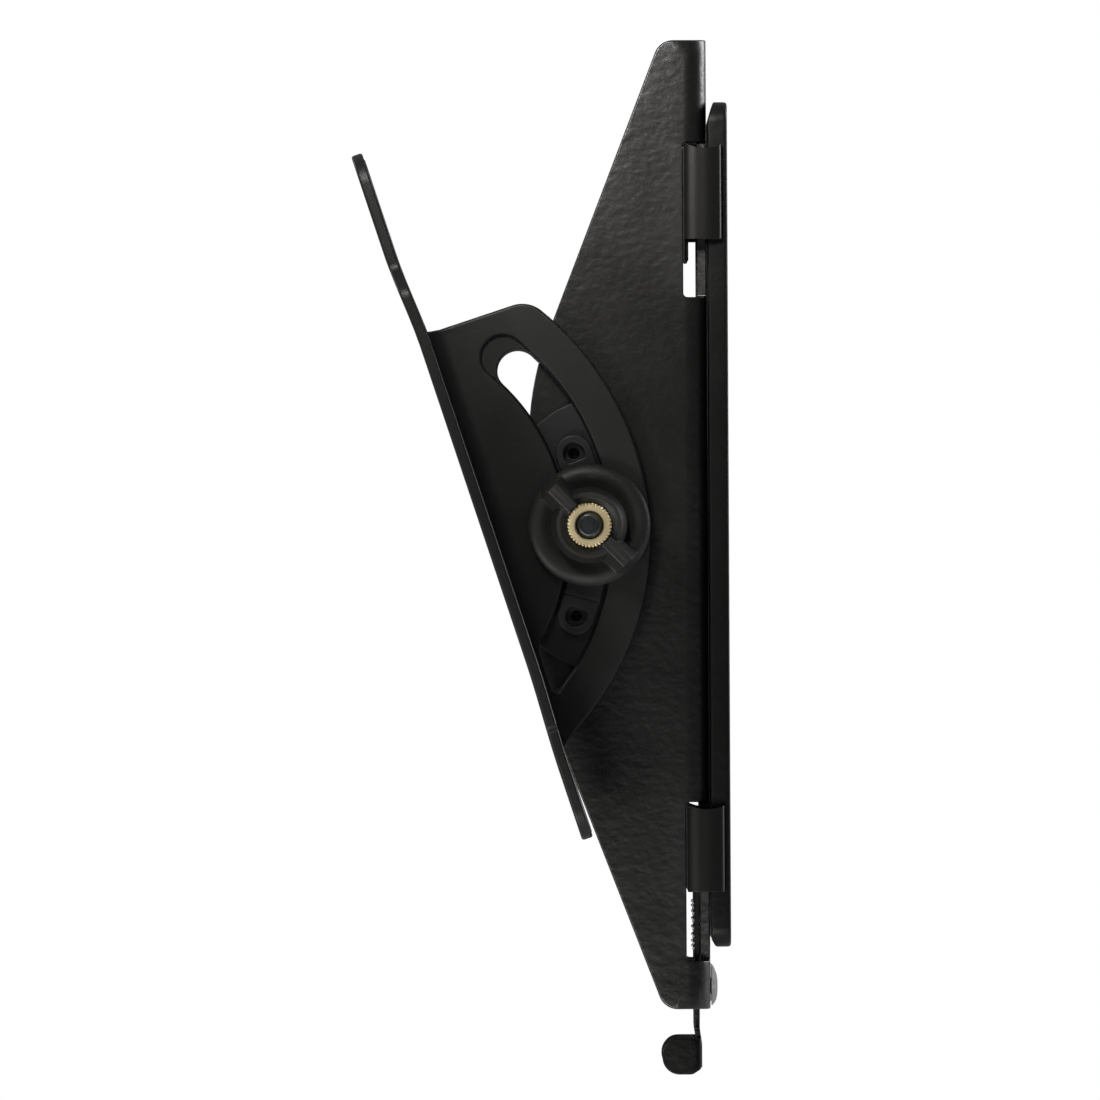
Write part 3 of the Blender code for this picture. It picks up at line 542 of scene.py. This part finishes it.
def tilt_bracket(name):
    """Screen strip and slotted ear, cut out flat as (p, v) and bent: p runs from the ear to the strip."""
    ear_x, sheet, outer, front = 78.0, 3.5, 9.0, 36.6
    bend_w = front + outer
    neutral = outer - sheet / 2.0
    bend = neutral * math.pi / 2.0
    turn = Matrix.Rotation(TILT, 3, "X")
    base = Vector((0.0, PIVOT[0], PIVOT[1]))

    def joggle(v):
        for start, finish, depth in ((48.5, 79.5, -1.6), (-52.0, -87.0, -0.9)):
            if (v - start) * (finish - start) > 0.0:
                share = min(1.0, (v - start) / (finish - start))
                return depth * share * share * (3.0 - 2.0 * share)
        return 0.0

    def place(p, v, t):
        if p <= 0.0:
            x, w = ear_x + t, bend_w - p
        elif p <= bend:
            angle = p / neutral
            x, w = ear_x + outer - (outer - t) * math.cos(angle), bend_w - (outer - t) * math.sin(angle)
        else:
            x, w = ear_x + outer + p - bend, front + t
        return turn @ Vector((x, w + joggle(v), v)) + base

    def strip(x):
        return bend + x - ear_x - outer

    ear_radius, ear_top, corner = 89.3, 52.4, 9.2
    reach = math.sqrt((ear_radius - corner) ** 2 - (ear_top - corner) ** 2)
    corner_angle = math.degrees(math.atan2(ear_top - corner, reach))
    tail = -math.degrees(math.acos(bend_w / ear_radius))
    ear = arc(ear_radius, tail, corner_angle, 44)
    ear += arc(corner, corner_angle, 90.0, 10, (reach, ear_top - corner))[1:]
    ear = [(bend_w - w, v) for w, v in ear]
    outline = ear + [(2.0, ear_top), (bend * 0.7, ear_top + 0.6)]
    top, bottom, near, far, out = 111.0, -109.4, strip(90.5), strip(109.5), strip(116.0)
    outline += rounded([
        (bend * 0.72, ear_top + 0.6, 0.0), (near - 0.4, 55.0, 2.2), (near, top, 9.4), (far, top, 9.4), (far, 74.5, 4.0),
        (out, 66.5, 6.0), (out, -74.5, 1.5), (far, -74.5, 1.0), (far, bottom, 9.4), (near, bottom, 9.4),
        (near, -82.4, 2.5), (bend * 0.72, -80.4, 0.0)])[1:-1]
    outline += [(bend * 0.7, -80.3), (bend * 0.35, -78.9)]
    outline = turned(dense(outline, 5.0))

    def slot(half, end):
        finish = 5.6
        low_outer = -math.degrees(math.acos((bend_w - 0.2) / (SLOT_RADIUS + half)))
        low_inner = -math.degrees(math.acos((bend_w - 0.2) / (SLOT_RADIUS - half)))
        loop = arc(SLOT_RADIUS + half, low_outer, end, 46)
        loop += arc(half, end, end + 180.0, 18, polar(SLOT_RADIUS, end))[1:-1]
        loop += arc(SLOT_RADIUS - half, end, low_inner, 44)
        loop = [(bend_w - w, v) for w, v in loop]
        a, b = loop[-1], loop[0]
        loop += [(a[0] + finish * 0.5, a[1] - 1.8), (a[0] + finish - 0.8, a[1] - 4.2), (a[0] + finish, a[1] - 6.0),
                 (b[0] + finish, b[1] + 0.6), (b[0] + finish - 0.7, b[1] - 1.2), (b[0] + finish * 0.5, b[1] - 1.4)]
        return turned(loop, False)

    wide, narrow = slot(6.75, 32.8), slot(6.3, 28.0)
    step = 1.6
    slot_rings = rolled(wide, step, sheet, 0.75)[:5] + [(wide, step + 0.25), (inset(wide, -0.15), step)]
    slot_rings += [(inset(narrow, 0.3), step), (inset(narrow, 0.1), step - 0.1)] + rolled(narrow, 0.0, step, 0.35)[5:]
    holes = [dense(turned(arc(3.3, 0.0, 348.75, 31, (strip(100.0), side * 100.0)), False), 4.0) for side in (1, -1)]
    holes += [turned(rectangle((strip(91.0), side * 50.0 - 3.3), (strip(109.0), side * 50.0 + 3.3), 3.2), False)
              for side in (1, -1)]
    walls = [rolled(outline, 0.0, sheet, 0.8, 5), slot_rings] + [rolled(hole, 0.0, sheet, 0.4, 3) for hole in holes]
    points = []
    rows = [-80.0 + 134.0 * i / 90.0 for i in range(91)]
    for step_ in range(13):
        points += [(bend * step_ / 12.0, v) for v in rows]
    points += [(p, v) for p in (strip(93.0), strip(100.0), strip(107.0)) for v in
               [-104.0 + 208.0 * i / 104.0 for i in range(105)]]
    points += [(p, v) for p in (-6.0, -12.0, -20.0, -28.0, -36.0) for v in rows[::4]]
    points = [p for p in points if clear_of(p, [outline, wide, narrow] + holes, 1.3)]
    return skin(name, walls, place, BRACKET_COAT, points)


# ---------------------------------------------------------------- guide, key, clamp

def guide_plate(name):
    low_x, high_x = span("right_guide_plate", 0)
    start, end = GUIDE_CENTRE - 31.1, GUIDE_CENTRE + 31.1
    outline = arc(81.0, start, end, 40, PIVOT) + [polar(71.25, end + 0.9, PIVOT)]
    outline += arc(61.5, end, start, 34, PIVOT) + [polar(71.25, start - 0.9, PIVOT)]
    neck = 4.25
    holes = [rectangle((CLAMP[0] - neck, -neck), (CLAMP[0] + neck, neck), 0.5)]
    holes += [arc(1.7, 0.0, 345.0, 23, spot) for spot in key_spots()]
    return block(name, outline, holes, low_x, high_x, "X", 0.35, NYLON, 0.2)


def slider_key(name):
    """Curved tongue in the ear's slot: raised in the middle, a D-shaped hole in each round end."""
    low_x, high_x = span("right_slider_key", 0)
    end_x = high_x - 0.8
    start, end = GUIDE_CENTRE - KEY_END, GUIDE_CENTRE + KEY_END
    outline = arc(SLOT_RADIUS + KEY_HALF, start, end, 60, PIVOT)
    outline += arc(KEY_HALF, end, end + 180.0, 22, polar(SLOT_RADIUS, end, PIVOT))[1:-1]
    outline += arc(SLOT_RADIUS - KEY_HALF, end, start, 60, PIVOT)
    outline += arc(KEY_HALF, start + 180.0, start + 360.0, 22, polar(SLOT_RADIUS, start, PIVOT))[1:-1]
    holes = [arc(4.3, 0.0, 352.5, 47, CLAMP)]
    for side, spot in zip((1, -1), key_spots()):
        flat = GUIDE_CENTRE + side * (KEY_END + 90.0) + 180.0
        half = math.degrees(math.acos(2.3 / 3.2))
        holes.append(arc(3.2, flat + half, flat + 360.0 - half, 30, spot))
    loops = [turned(outline)] + [turned(hole, False) for hole in holes]
    walls = [rolled(loops[0], low_x, end_x, 0.6, 5), rolled(loops[1], low_x, end_x, 0.2, 2)]
    walls += [rolled(loop, low_x, end_x, 0.45, 4) for loop in loops[2:]]

    def place(a, b, height):
        y, z = a - PIVOT[0], b - PIVOT[1]
        off = abs(math.degrees(math.atan2(z, y)) - GUIDE_CENTRE) - 15.9
        rise = 0.8 * min(1.0, max(0.0, 0.5 - off / 0.35))
        share = (height - low_x) / (end_x - low_x)
        return Vector((height + (rise if share > 0.5 else 0.0), a, b))

    edges = []
    for side in (1, -1):
        for degrees in (15.7, 15.82, 15.95, 16.08, 16.2):
            angle = GUIDE_CENTRE + side * degrees
            edges += [polar(SLOT_RADIUS + d, angle, PIVOT) for d in (-4.8, -3.2, -1.6, 0.0, 1.6, 3.2, 4.8)]
    return skin(name, walls, place, NYLON, edges, sharp=40.0)


def washer(name):
    low_x, high_x = span("right_clamp_washer", 0)
    profile = [(4.3, low_x), (12.0, low_x), (12.0, high_x), (4.3, high_x)]
    return lathe(name, curve_profile(profile, 0.4, 4, True), "X", CLAMP, 96, ZINC, closed=True)


def bolt(name):
    """Domed head, shank with thread grooves near the tip, chamfered end with a shallow flat recess."""
    low_x, tip = span("right_carriage_bolt", 0)
    head = low_x + 3.9
    profile = [(0.0, low_x), (2.4, low_x + 0.1), (4.6, low_x + 0.4), (6.2, low_x + 0.95), (7.4, low_x + 1.6),
               (8.3, low_x + 2.6), (8.6, low_x + 3.3), (8.5, head), (4.0, head)]
    x = head + 6.2
    while x < tip - 2.2:
        profile += [(4.0, x), (3.45, x + 0.45), (3.45, x + 0.6), (4.0, x + 1.05)]
        x += 1.25
    profile += [(4.0, tip - 1.0), (3.85, tip - 0.75), (3.2, tip - 0.1), (3.05, tip - 0.02), (2.9, tip), (2.75, tip - 0.04),
                (2.62, tip - 0.2), (2.55, tip - 0.45), (0.0, tip - 0.45)]
    return lathe(name, profile, "X", CLAMP, 64, DARK_STEEL, sharp=30.0)


def square_neck(name):
    low_x = span("right_carriage_bolt", 0)[0] + 3.2
    high_x = span("right_guide_plate", 0)[1] - 0.3
    outline = rectangle((CLAMP[0] - 3.95, -3.95), (CLAMP[0] + 3.95, 3.95), 0.6)
    return block(name, outline, [], low_x, high_x, "X", 0.2, DARK_STEEL)


def insert(name):
    """Brass insert: rounded knurl teeth, chamfered bore."""
    low_x, high_x = span("right_knob_insert", 0)
    radius, teeth = 6.9, 38
    rim = []
    for i in range(teeth * 8):
        phase = i / 8.0
        rim.append(polar(radius - 0.62 * (1.0 - abs(math.sin(math.pi * phase)) ** 0.6), 360.0 * phase / teeth, CLAMP))
    bore = turned(arc(4.35, 0.0, 355.0, 71, CLAMP), False)
    count = len(bore)
    rim = turned(rim)
    top = [(inset(rim, 0.35), high_x), (inset(rim, 0.1), high_x - 0.12), (rim, high_x - 0.4)]
    outside = top + [(rim, low_x + 0.3), (inset(rim, 0.3), low_x)]
    hole = [([polar(4.75, -360.0 * i / count, CLAMP) for i in range(count)], high_x),
            ([polar(4.55, -360.0 * i / count, CLAMP) for i in range(count)], high_x - 0.15),
            ([polar(4.3, -360.0 * i / count, CLAMP) for i in range(count)], high_x - 0.7),
            ([polar(4.3, -360.0 * i / count, CLAMP) for i in range(count)], low_x)]
    return skin(name, [outside, hole], PLACES["X"], BRASS, sharp=35.0)


def blend_up(a, b, radius):
    """The higher of two heights, with a fillet of about the given radius where they meet."""
    h = max(radius - abs(a - b), 0.0) / radius
    return max(a, b) + h * h * radius * 0.25


def knob_height(r, along, across):
    """Height of the knob's top over its underside, with r from the axis and along/across the wings."""
    rim = 18.65
    if r > rim - 3.3:
        s = (r - (rim - 3.3)) / 3.3
        flange = 2.6 + 2.5 * math.sqrt(max(0.0, 1.0 - s * s))
    else:
        s = min(1.0, (rim - 3.3 - r) / 4.6)
        flange = 5.1 - 1.5 * s * s * (3.0 - 2.0 * s)
    boss = 12.6 - 3.6 * max(0.0, r - 10.0) ** 1.1 - 0.5 * max(0.0, 8.4 - r) / 1.0
    if r < 8.9:
        boss = min(boss, 12.1 - 0.6 * max(0.0, 8.6 - r))
    if r > 11.6:
        boss = -9.0
    height = blend_up(flange, boss, 1.2)
    side_fall = max(0.0, abs(across) - 1.75)
    end_fall = max(0.0, abs(along) - 16.3)
    wing = 15.0 - 3.8 * side_fall - 5.5 * end_fall
    wing = min(wing, 15.0 - 0.2 * max(0.0, 1.0 - min(1.75 - abs(across), 16.3 - abs(along)) / 0.35) ** 2
               if side_fall == 0.0 and end_fall == 0.0 else wing)
    if r < 18.4:
        height = blend_up(height, wing, 1.0)
    return height


def knob(name):
    """Round dished flange with a boss and two tapered wings, as one moulding."""
    base, _ = span("right_knob", 0)
    bore, rim, wing_angle = 7.2, 18.65, 135.0
    build = bmesh.new()
    count = 480
    radii = [bore + (rim - bore) * i / 92.0 for i in range(93)]
    rings = []
    for r in radii:
        ring = []
        for i in range(count):
            degrees = 360.0 * i / count
            turn = math.radians(degrees - wing_angle)
            height = knob_height(r, r * math.cos(turn), r * math.sin(turn))
            a, b = polar(r, degrees, CLAMP)
            ring.append(build.verts.new(Vector((base + height, a, b)) * MM))
        rings.append(ring)
    for r, height in ((rim, 1.0), (rim - 0.25, 0.4), (rim - 0.85, 0.0), (12.3, 0.0), (12.3, 1.8), (bore, 1.8)):
        rings.append([build.verts.new(Vector((base + height, *polar(r, 360.0 * i / count, CLAMP))) * MM)
                      for i in range(count)])
    for near, far in zip(rings, rings[1:] + rings[:1]):
        for i in range(count):
            j = (i + 1) % count
            build.faces.new((near[i], near[j], far[j], far[i]))
    return finish_mesh(build, name, PLASTIC, weighted=False, sharp=50.0)


def guide_rivet(name, spot):
    low_x = span("right_guide_rivet_upper", 0)[0]
    high_x = span("right_guide_rivet_upper", 0)[1]
    profile = [(0.0, low_x), (2.2, low_x), (2.2, low_x + 1.0), (1.3, low_x + 1.0), (1.3, high_x - 2.4),
               (1.9, high_x - 2.4), (1.9, high_x - 2.1), (1.4, high_x - 1.8), (0.9, high_x - 1.9), (0.8, high_x - 2.3),
               (0.0, high_x - 2.35)]
    return lathe(name, curve_profile(profile, 0.15), "X", spot, 40, BLACK_STEEL)


# ---------------------------------------------------------------- latch, spring, bumper

def latch(name):
    """Flat bar with a finger tab bent forward at its lower end: q runs across, v is the height."""
    rear, thick = 9.7, 1.6
    head, stem = 7.0, 4.0
    bend_out = 2.2
    neutral = bend_out - thick / 2.0
    bend = neutral * math.pi / 2.0
    turn_q = 4.0 - bend_out

    def place(q, v, t):
        share = min(1.0, max(0.0, (-153.5 - v) / 6.0))
        back = 0.7 * share * share * (3.0 - 2.0 * share) - rear
        if q <= turn_q or v > -155.6:
            return Vector((MIDDLE + q, back - t, v))
        if q <= turn_q + bend:
            angle = (q - turn_q) / neutral
            reach = bend_out - t
            return Vector((MIDDLE + turn_q + reach * math.sin(angle), back - bend_out + reach * math.cos(angle), v))
        return Vector((MIDDLE + turn_q + bend_out - t, back - bend_out - (q - turn_q - bend), v))

    tip = turn_q + bend + (21.2 - rear - bend_out) + 0.7
    outline = rounded([
        (-head, -100.6, 1.5), (-head, -151.0, 2.0), (-stem, -155.0, 2.0), (-stem, -165.6, 1.5),
        (turn_q - 0.6, -165.6, 2.0), (turn_q + bend + 0.6, -168.3, 2.5), (tip, -168.3, 5.3), (tip, -157.3, 5.3),
        (turn_q + 0.1, -157.3, 0.8), (turn_q + 0.1, -153.9, 0.8), (head, -151.0, 1.5), (head, -100.6, 1.5)])
    holes = [rectangle((-3.1, -132.0), (3.1, -115.0), 0.6)]
    holes += [rectangle((side * 4.6 - 1.9, -147.1), (side * 4.6 + 1.9, -135.0), 1.8) for side in (-1, 1)]
    loops = [turned(dense(outline, 2.0))] + [turned(hole, False) for hole in holes]
    walls = [rolled(loop, 0.0, thick, 0.25 if i == 0 else 0.1, 3) for i, loop in enumerate(loops)]
    points = [(turn_q + bend * i / 6.0, -156.0 - 1.2 * k) for i in range(7) for k in range(1, 10)]
    points = [p for p in points if clear_of(p, loops, 0.7)]
    return skin(name, walls, place, LATCH_COAT, points)


def spring(name):
    """Compression spring with closed ends."""
    low, high = span("right_latch_spring", 2)
    radius, wire, turns, reach, sides = 1.9, 0.42, 8, 9.6, 12
    steps = turns * 40
    build = bmesh.new()
    rings = []
    for i in range(steps + 1):
        share = i / steps
        eased = share + 0.055 * math.sin(2.0 * math.pi * share) * -1.0
        height = low + wire + (high - low - 2.0 * wire) * eased
        angle = 2.0 * math.pi * turns * share
        outward = Vector((math.cos(angle), math.sin(angle), 0.0))
        centre = Vector((MIDDLE, -reach, height)) + outward * radius
        rings.append([build.verts.new((centre + outward * wire * math.cos(2.0 * math.pi * k / sides)
                                       + Vector((0.0, 0.0, wire * math.sin(2.0 * math.pi * k / sides)))) * MM)
                      for k in range(sides)])
    for near, far in zip(rings, rings[1:]):
        for k in range(sides):
            build.faces.new((near[k], near[(k + 1) % sides], far[(k + 1) % sides], far[k]))
    build.faces.new(rings[0])
    build.faces.new(rings[-1])
    return finish_mesh(build, name, ZINC, weighted=False, sharp=60.0)


def bumper(name):
    rear, front = -span("right_bumper", 1)[1], -span("right_bumper", 1)[0]
    seat = ARM_REAR - 0.3
    profile = [(0.0, -rear), (1.6, -rear - 0.02), (3.0, -rear - 0.16), (4.3, -rear - 0.5), (5.3, -rear - 1.05),
               (5.85, -rear - 1.6), (6.0, -seat + 0.15), (5.9, -seat), (2.4, -seat), (2.4, -front), (0.0, -front)]
    return lathe(name, profile, "Y", (MIDDLE, -141.2), 64, RUBBER)


def stud(name, side):
    x = MIDDLE + side * 4.6
    low, high = span("right_latch_stud_outer", 1)
    profile = [(0.0, high), (1.3, high), (1.3, high - 3.0), (1.9, high - 3.0), (1.9, low + 1.2), (3.2, low + 1.2),
               (3.15, low + 0.75), (2.7, low + 0.35), (1.9, low + 0.1), (0.0, low)]
    return lathe(name, curve_profile(profile, 0.18, 3), "Y", (x, -145.0), 48, ZINC)


# ---------------------------------------------------------------- wall side

def wall_plate(name):
    """Pressed tray: flat back, edges turned to the room, windows and screw slots."""
    half_w, half_h = 74.0, 129.2
    sheet, depth, corner = 2.3, 6.0, 6.0
    outline = turned(dense(rectangle((-half_w, -half_h), (half_w, half_h), corner, 10.0), 6.0))

    def place(a, b, height):
        for start, finish, limit in ((123.4, 129.2, 4.3), (-126.9, -129.2, 4.7)):
            if (b - start) * (finish - start) > 0.0 and height > sheet:
                share = min(1.0, (b - start) / (finish - start))
                top = depth - (depth - limit) * share
                height = sheet + (height - sheet) * (top - sheet) / (depth - sheet)
        return Vector((a, -height, b))

    rings = [(inset(outline, 1.2), 0.0), (inset(outline, 0.45), 0.15), (inset(outline, 0.1), 0.55), (outline, 1.2),
             (outline, depth - 0.7), (inset(outline, 0.12), depth - 0.3), (inset(outline, 0.45), depth - 0.06),
             (inset(outline, 0.8), depth), (inset(outline, 1.6), depth - 0.02),
             (inset(outline, sheet - 0.25), depth - 0.2), (inset(outline, sheet), depth - 0.6),
             (inset(outline, sheet), sheet + 1.1), (inset(outline, sheet + 0.35), sheet + 0.35),
             (inset(outline, sheet + 1.1), sheet)]
    holes = [rectangle((-43.0, side * 44.0 - 20.0), (43.0, side * 44.0 + 20.0), 8.0) for side in (-1, 1)]
    for x, z in ((-45.0, 119.3), (45.0, 119.3), (0.0, 14.0), (0.0, -14.0), (-45.0, -119.3), (45.0, -119.3)):
        holes.append(rectangle((x - 12.0, z - 3.5), (x + 12.0, z + 3.5), 3.45))
    walls = [rings]
    for hole in holes:
        loop = dense(turned(hole, False), 6.0)
        walls.append(rolled(loop, 0.0, sheet, 0.4, 3)[::-1])
    return skin(name, walls, place, PLATE_COAT)


def rail(name):
    low, high = span(name, 2)
    stem_low, stem_high = (100.9, 103.4) if low > 0.0 else (-100.3, -97.8)
    middle = (stem_low + stem_high) / 2.0
    half = -span(name, 0)[0]
    outline = rounded([
        (-2.6, middle - 8.5, 0.3), (-4.6, middle - 8.5, 0.5), (-4.6, stem_low, 0.5), (-12.0, stem_low, 0.8),
        (-12.0, low, 0.5), (-13.2, low, 0.5), (-13.2, high, 0.5), (-12.0, high, 0.5), (-12.0, stem_high, 0.8),
        (-4.6, stem_high, 0.5), (-4.6, middle + 8.5, 0.5), (-2.6, middle + 8.5, 0.3)], 22.5)
    return block(name, outline, [], -half, half, "X", 0.25, PLATE_COAT)


def rail_rivet(name):
    """Domed steel rivet head, painted with the rail."""
    x = sum(span(name, 0)) / 2.0
    z = sum(span(name, 2)) / 2.0
    low, high = span(name, 1)
    head = -4.9
    profile = [(0.0, high), (1.7, high), (1.7, head), (2.9, head), (2.88, head - 0.25), (2.5, head - 0.6),
               (1.8, head - 0.85), (0.9, low + 0.02), (0.0, low)]
    return lathe(name, curve_profile(profile, 0.15, 2), "Y", (x, z), 40, PLATE_COAT)


def rail_cap(name):
    """Moulded cap over the rail's end; its top edge is dished."""
    low_z, high_z = span(name, 2)
    outline = rounded([
        (71.7, -13.2, 0.5), (77.3, -13.2, 2.2), (78.1, -10.2, 6.0), (77.9, -6.0, 9.0), (76.6, -1.9, 1.6),
        (74.3, -1.9, 0.4), (74.3, -6.3, 0.5), (71.7, -6.3, 0.4)], 6.0)
    loop = turned(dense(outline, 0.8))

    def place(a, b, height):
        dish = 0.0
        if height > high_z - 4.0:
            share = max(0.0, 1.0 - ((b + 7.0) / 5.6) ** 2)
            dish = 1.3 * share * (height - high_z + 4.0) / 4.0
        return Vector((a, b, height - dish))

    walls = [rolled(loop, low_z, high_z, 0.28, 4)]
    points = [(76.5, -12.2 + 0.8 * i) for i in range(13)] + [(75.2, -11.0 + 0.8 * i) for i in range(11)]
    points = [p for p in points if clear_of(p, [loop], 0.9)]
    return skin(name, walls, place, CAP_PLASTIC, points, sharp=60.0)


# ---------------------------------------------------------------- assembly

def mirrored(piece, name):
    mesh = piece.data.copy()
    mesh.transform(Matrix.Scale(-1.0, 4, Vector((1.0, 0.0, 0.0))))
    mesh.flip_normals()
    made = bpy.data.objects.new(name, mesh)
    bpy.context.scene.collection.objects.link(made)
    for step in piece.modifiers:
        made.modifiers.new(step.name, step.type).keep_sharp = step.keep_sharp
    return made


body_of_node = {node: body for body, members in frame["record"]["behaviour"]["bodies"].items() for node in members}


def seat(piece, node):
    """The piece stands for a CAD node and rides on that node's body."""
    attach(piece, body_of_node[node])
    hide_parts(node)
    return piece


def wall_side():
    seat(wall_plate("wall_plate_shell"), "wall_plate")
    for place in ("top", "bottom"):
        seat(renamed(rail(f"{place}_rail")), f"{place}_rail")
        for spot in ("left", "centre", "right"):
            node = f"{place}_rail_rivet_{spot}"
            seat(renamed(rail_rivet(node)), node)
        node = f"right_{place}_rail_cap"
        cap = renamed(rail_cap(node))
        seat(cap, node)
        seat(mirrored(cap, f"left_{place}_rail_cap_shell"), f"left_{place}_rail_cap")


def renamed(piece):
    piece.name = piece.name.split(".")[0] + "_shell"
    return piece


def arms():
    upper, lower = key_spots()
    makers = {
        "arm_channel": arm_channel, "tilt_bracket": tilt_bracket, "guide_plate": guide_plate,
        "slider_key": slider_key, "clamp_washer": washer, "carriage_bolt": bolt, "knob_insert": insert,
        "knob": knob, "latch": latch, "latch_spring": spring, "bumper": bumper,
        "guide_rivet_upper": lambda name: guide_rivet(name, upper),
        "guide_rivet_lower": lambda name: guide_rivet(name, lower),
        "latch_stud_inner": lambda name: stud(name, -1), "latch_stud_outer": lambda name: stud(name, 1),
    }
    for part, make in makers.items():
        piece = make(f"right_{part}_shell")
        twin = mirrored(piece, f"left_{part}_shell")
        seat(piece, f"right_{part}")
        seat(twin, f"left_{part}")
    neck = square_neck("right_bolt_neck")
    twin = mirrored(neck, "left_bolt_neck")
    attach(neck, body_of_node["right_carriage_bolt"])
    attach(twin, body_of_node["left_carriage_bolt"])
    for side in ("right", "left"):
        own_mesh(bpy.data.objects[f"{side}_latch_spring_shell"])


# ---------------------------------------------------------------- stage

WARM = (1.0, 0.975, 0.94)


def area_light(name, place, target, size, power, colour=(1.0, 1.0, 1.0), spread=180.0):
    lamp = bpy.data.lights.new(name, "AREA")
    lamp.shape = "RECTANGLE"
    lamp.size, lamp.size_y = size
    lamp.energy = power
    lamp.color = colour
    lamp.spread = math.radians(spread)
    made = bpy.data.objects.new(name, lamp)
    made.location = place
    made.rotation_mode = "QUATERNION"
    made.rotation_quaternion = (Vector(target) - Vector(place)).to_track_quat("-Z", "Y")
    made.visible_camera = False
    bpy.context.scene.collection.objects.link(made)
    return made


def only_on(lamp, names):
    """Let a lamp light the named pieces only, and let nothing else shade them from it."""
    group = bpy.data.collections.new(f"{lamp.name}_pieces")
    for name in names:
        group.objects.link(bpy.data.objects[name])
    lamp.light_linking.receiver_collection = group
    lamp.light_linking.blocker_collection = group


def floor():
    build = bmesh.new()
    bmesh.ops.create_grid(build, x_segments=8, y_segments=8, size=3.0)
    mesh = bpy.data.meshes.new("floor")
    build.to_mesh(mesh)
    build.free()
    made = bpy.data.objects.new("floor", mesh)
    made.location = (0.0, 0.0, cad_box[0][2] - 0.16)
    bpy.context.scene.collection.objects.link(made)
    n = Nodes("floor_paper")
    tone = n.mix(n.ramp(n.noise(3.0), 0.3, 0.7, 0.0, 1.0), (0.86, 0.86, 0.86), (0.90, 0.90, 0.90))
    seen = n.add("ShaderNodeLightPath").outputs["Is Camera Ray"]
    glow = n.maths("MULTIPLY", seen, 0.42)
    mesh.materials.append(n.set(Base_Color=tone, Roughness=0.9, Emission_Color=(1.0, 1.0, 1.0), Emission_Strength=glow))


def camera():
    distance = 14.0
    data = bpy.data.cameras.new("camera")
    data.sensor_width = 36.0
    data.lens = 36.0 * distance / 0.3364
    data.clip_start, data.clip_end = 0.5, 60.0
    made = bpy.data.objects.new("camera", data)
    made.location = (0.075 + distance, -0.0548, -0.00755)
    made.rotation_mode = "QUATERNION"
    upright = Matrix.Rotation(math.pi / 2.0, 3, "Z") @ Matrix.Rotation(math.pi / 2.0, 3, "X")
    made.rotation_quaternion = upright.to_quaternion() @ Quaternion((0.0, 0.0, 1.0), math.radians(-0.3))
    bpy.context.scene.collection.objects.link(made)
    bpy.context.scene.camera = made


WORLD = (0.010, 0.32, 0.2)


def world():
    made = bpy.data.worlds.new("studio")
    made.use_nodes = True
    tree = made.node_tree
    tree.nodes.clear()
    out = tree.nodes.new("ShaderNodeOutputWorld")
    seen = tree.nodes.new("ShaderNodeBackground")
    seen.inputs["Color"].default_value = (1.0, 1.0, 1.0, 1.0)
    lit = tree.nodes.new("ShaderNodeBackground")
    place = tree.nodes.new("ShaderNodeTexCoord")
    split = tree.nodes.new("ShaderNodeSeparateXYZ")
    tree.links.new(place.outputs["Generated"], split.inputs[0])
    fade = tree.nodes.new("ShaderNodeMapRange")
    for key, value in (("From Min", 0.1), ("From Max", -0.75), ("To Min", WORLD[0]), ("To Max", WORLD[1])):
        fade.inputs[key].default_value = value
    tree.links.new(split.outputs["X"], fade.inputs["Value"])
    above = tree.nodes.new("ShaderNodeMapRange")
    for key, value in (("From Min", 0.45), ("From Max", 0.95), ("To Min", 0.0), ("To Max", WORLD[2])):
        above.inputs[key].default_value = value
    tree.links.new(split.outputs["Z"], above.inputs["Value"])
    both = tree.nodes.new("ShaderNodeMath")
    tree.links.new(fade.outputs["Result"], both.inputs[0])
    tree.links.new(above.outputs["Result"], both.inputs[1])
    tree.links.new(both.outputs[0], lit.inputs["Strength"])
    pick = tree.nodes.new("ShaderNodeMixShader")
    path = tree.nodes.new("ShaderNodeLightPath")
    tree.links.new(path.outputs["Is Camera Ray"], pick.inputs[0])
    tree.links.new(lit.outputs[0], pick.inputs[1])
    tree.links.new(seen.outputs[0], pick.inputs[2])
    tree.links.new(pick.outputs[0], out.inputs["Surface"])
    bpy.context.scene.world = made


wall_side()
arms()
world()
floor()
camera()
area_light("key", (0.35, -0.12, 0.235), (0.075, -0.03, 0.13), (0.08, 0.08), 0.102, WARM, 58.0)
area_light("low", (0.35, -0.11, -0.27), (0.075, -0.04, -0.13), (0.08, 0.08), 0.042, WARM, 60.0)
area_light("left_low", (0.46, -0.26, -0.25), (0.09, -0.043, 0.0), (0.08, 0.08), 0.02, WARM, 36.0)
area_light("left", (0.30, -0.95, 0.10), (0.08, -0.06, 0.0), (0.5, 0.7), 0.2)
area_light("front_fill", (-0.75, -1.5, 0.5), (0.0, -0.05, 0.0), (0.8, 0.8), 7.0)
area_light("back_fill", (-0.75, 1.5, 0.5), (0.0, -0.05, 0.0), (0.8, 0.8), 15.0)
crescent = area_light("knob_light", (0.28, -0.34, -0.24), (0.095, -0.043, 0.0), (0.10, 0.10), 0.5, WARM)
only_on(crescent, ["right_knob_shell"])
bpy.context.scene.view_settings.view_transform = "Standard"
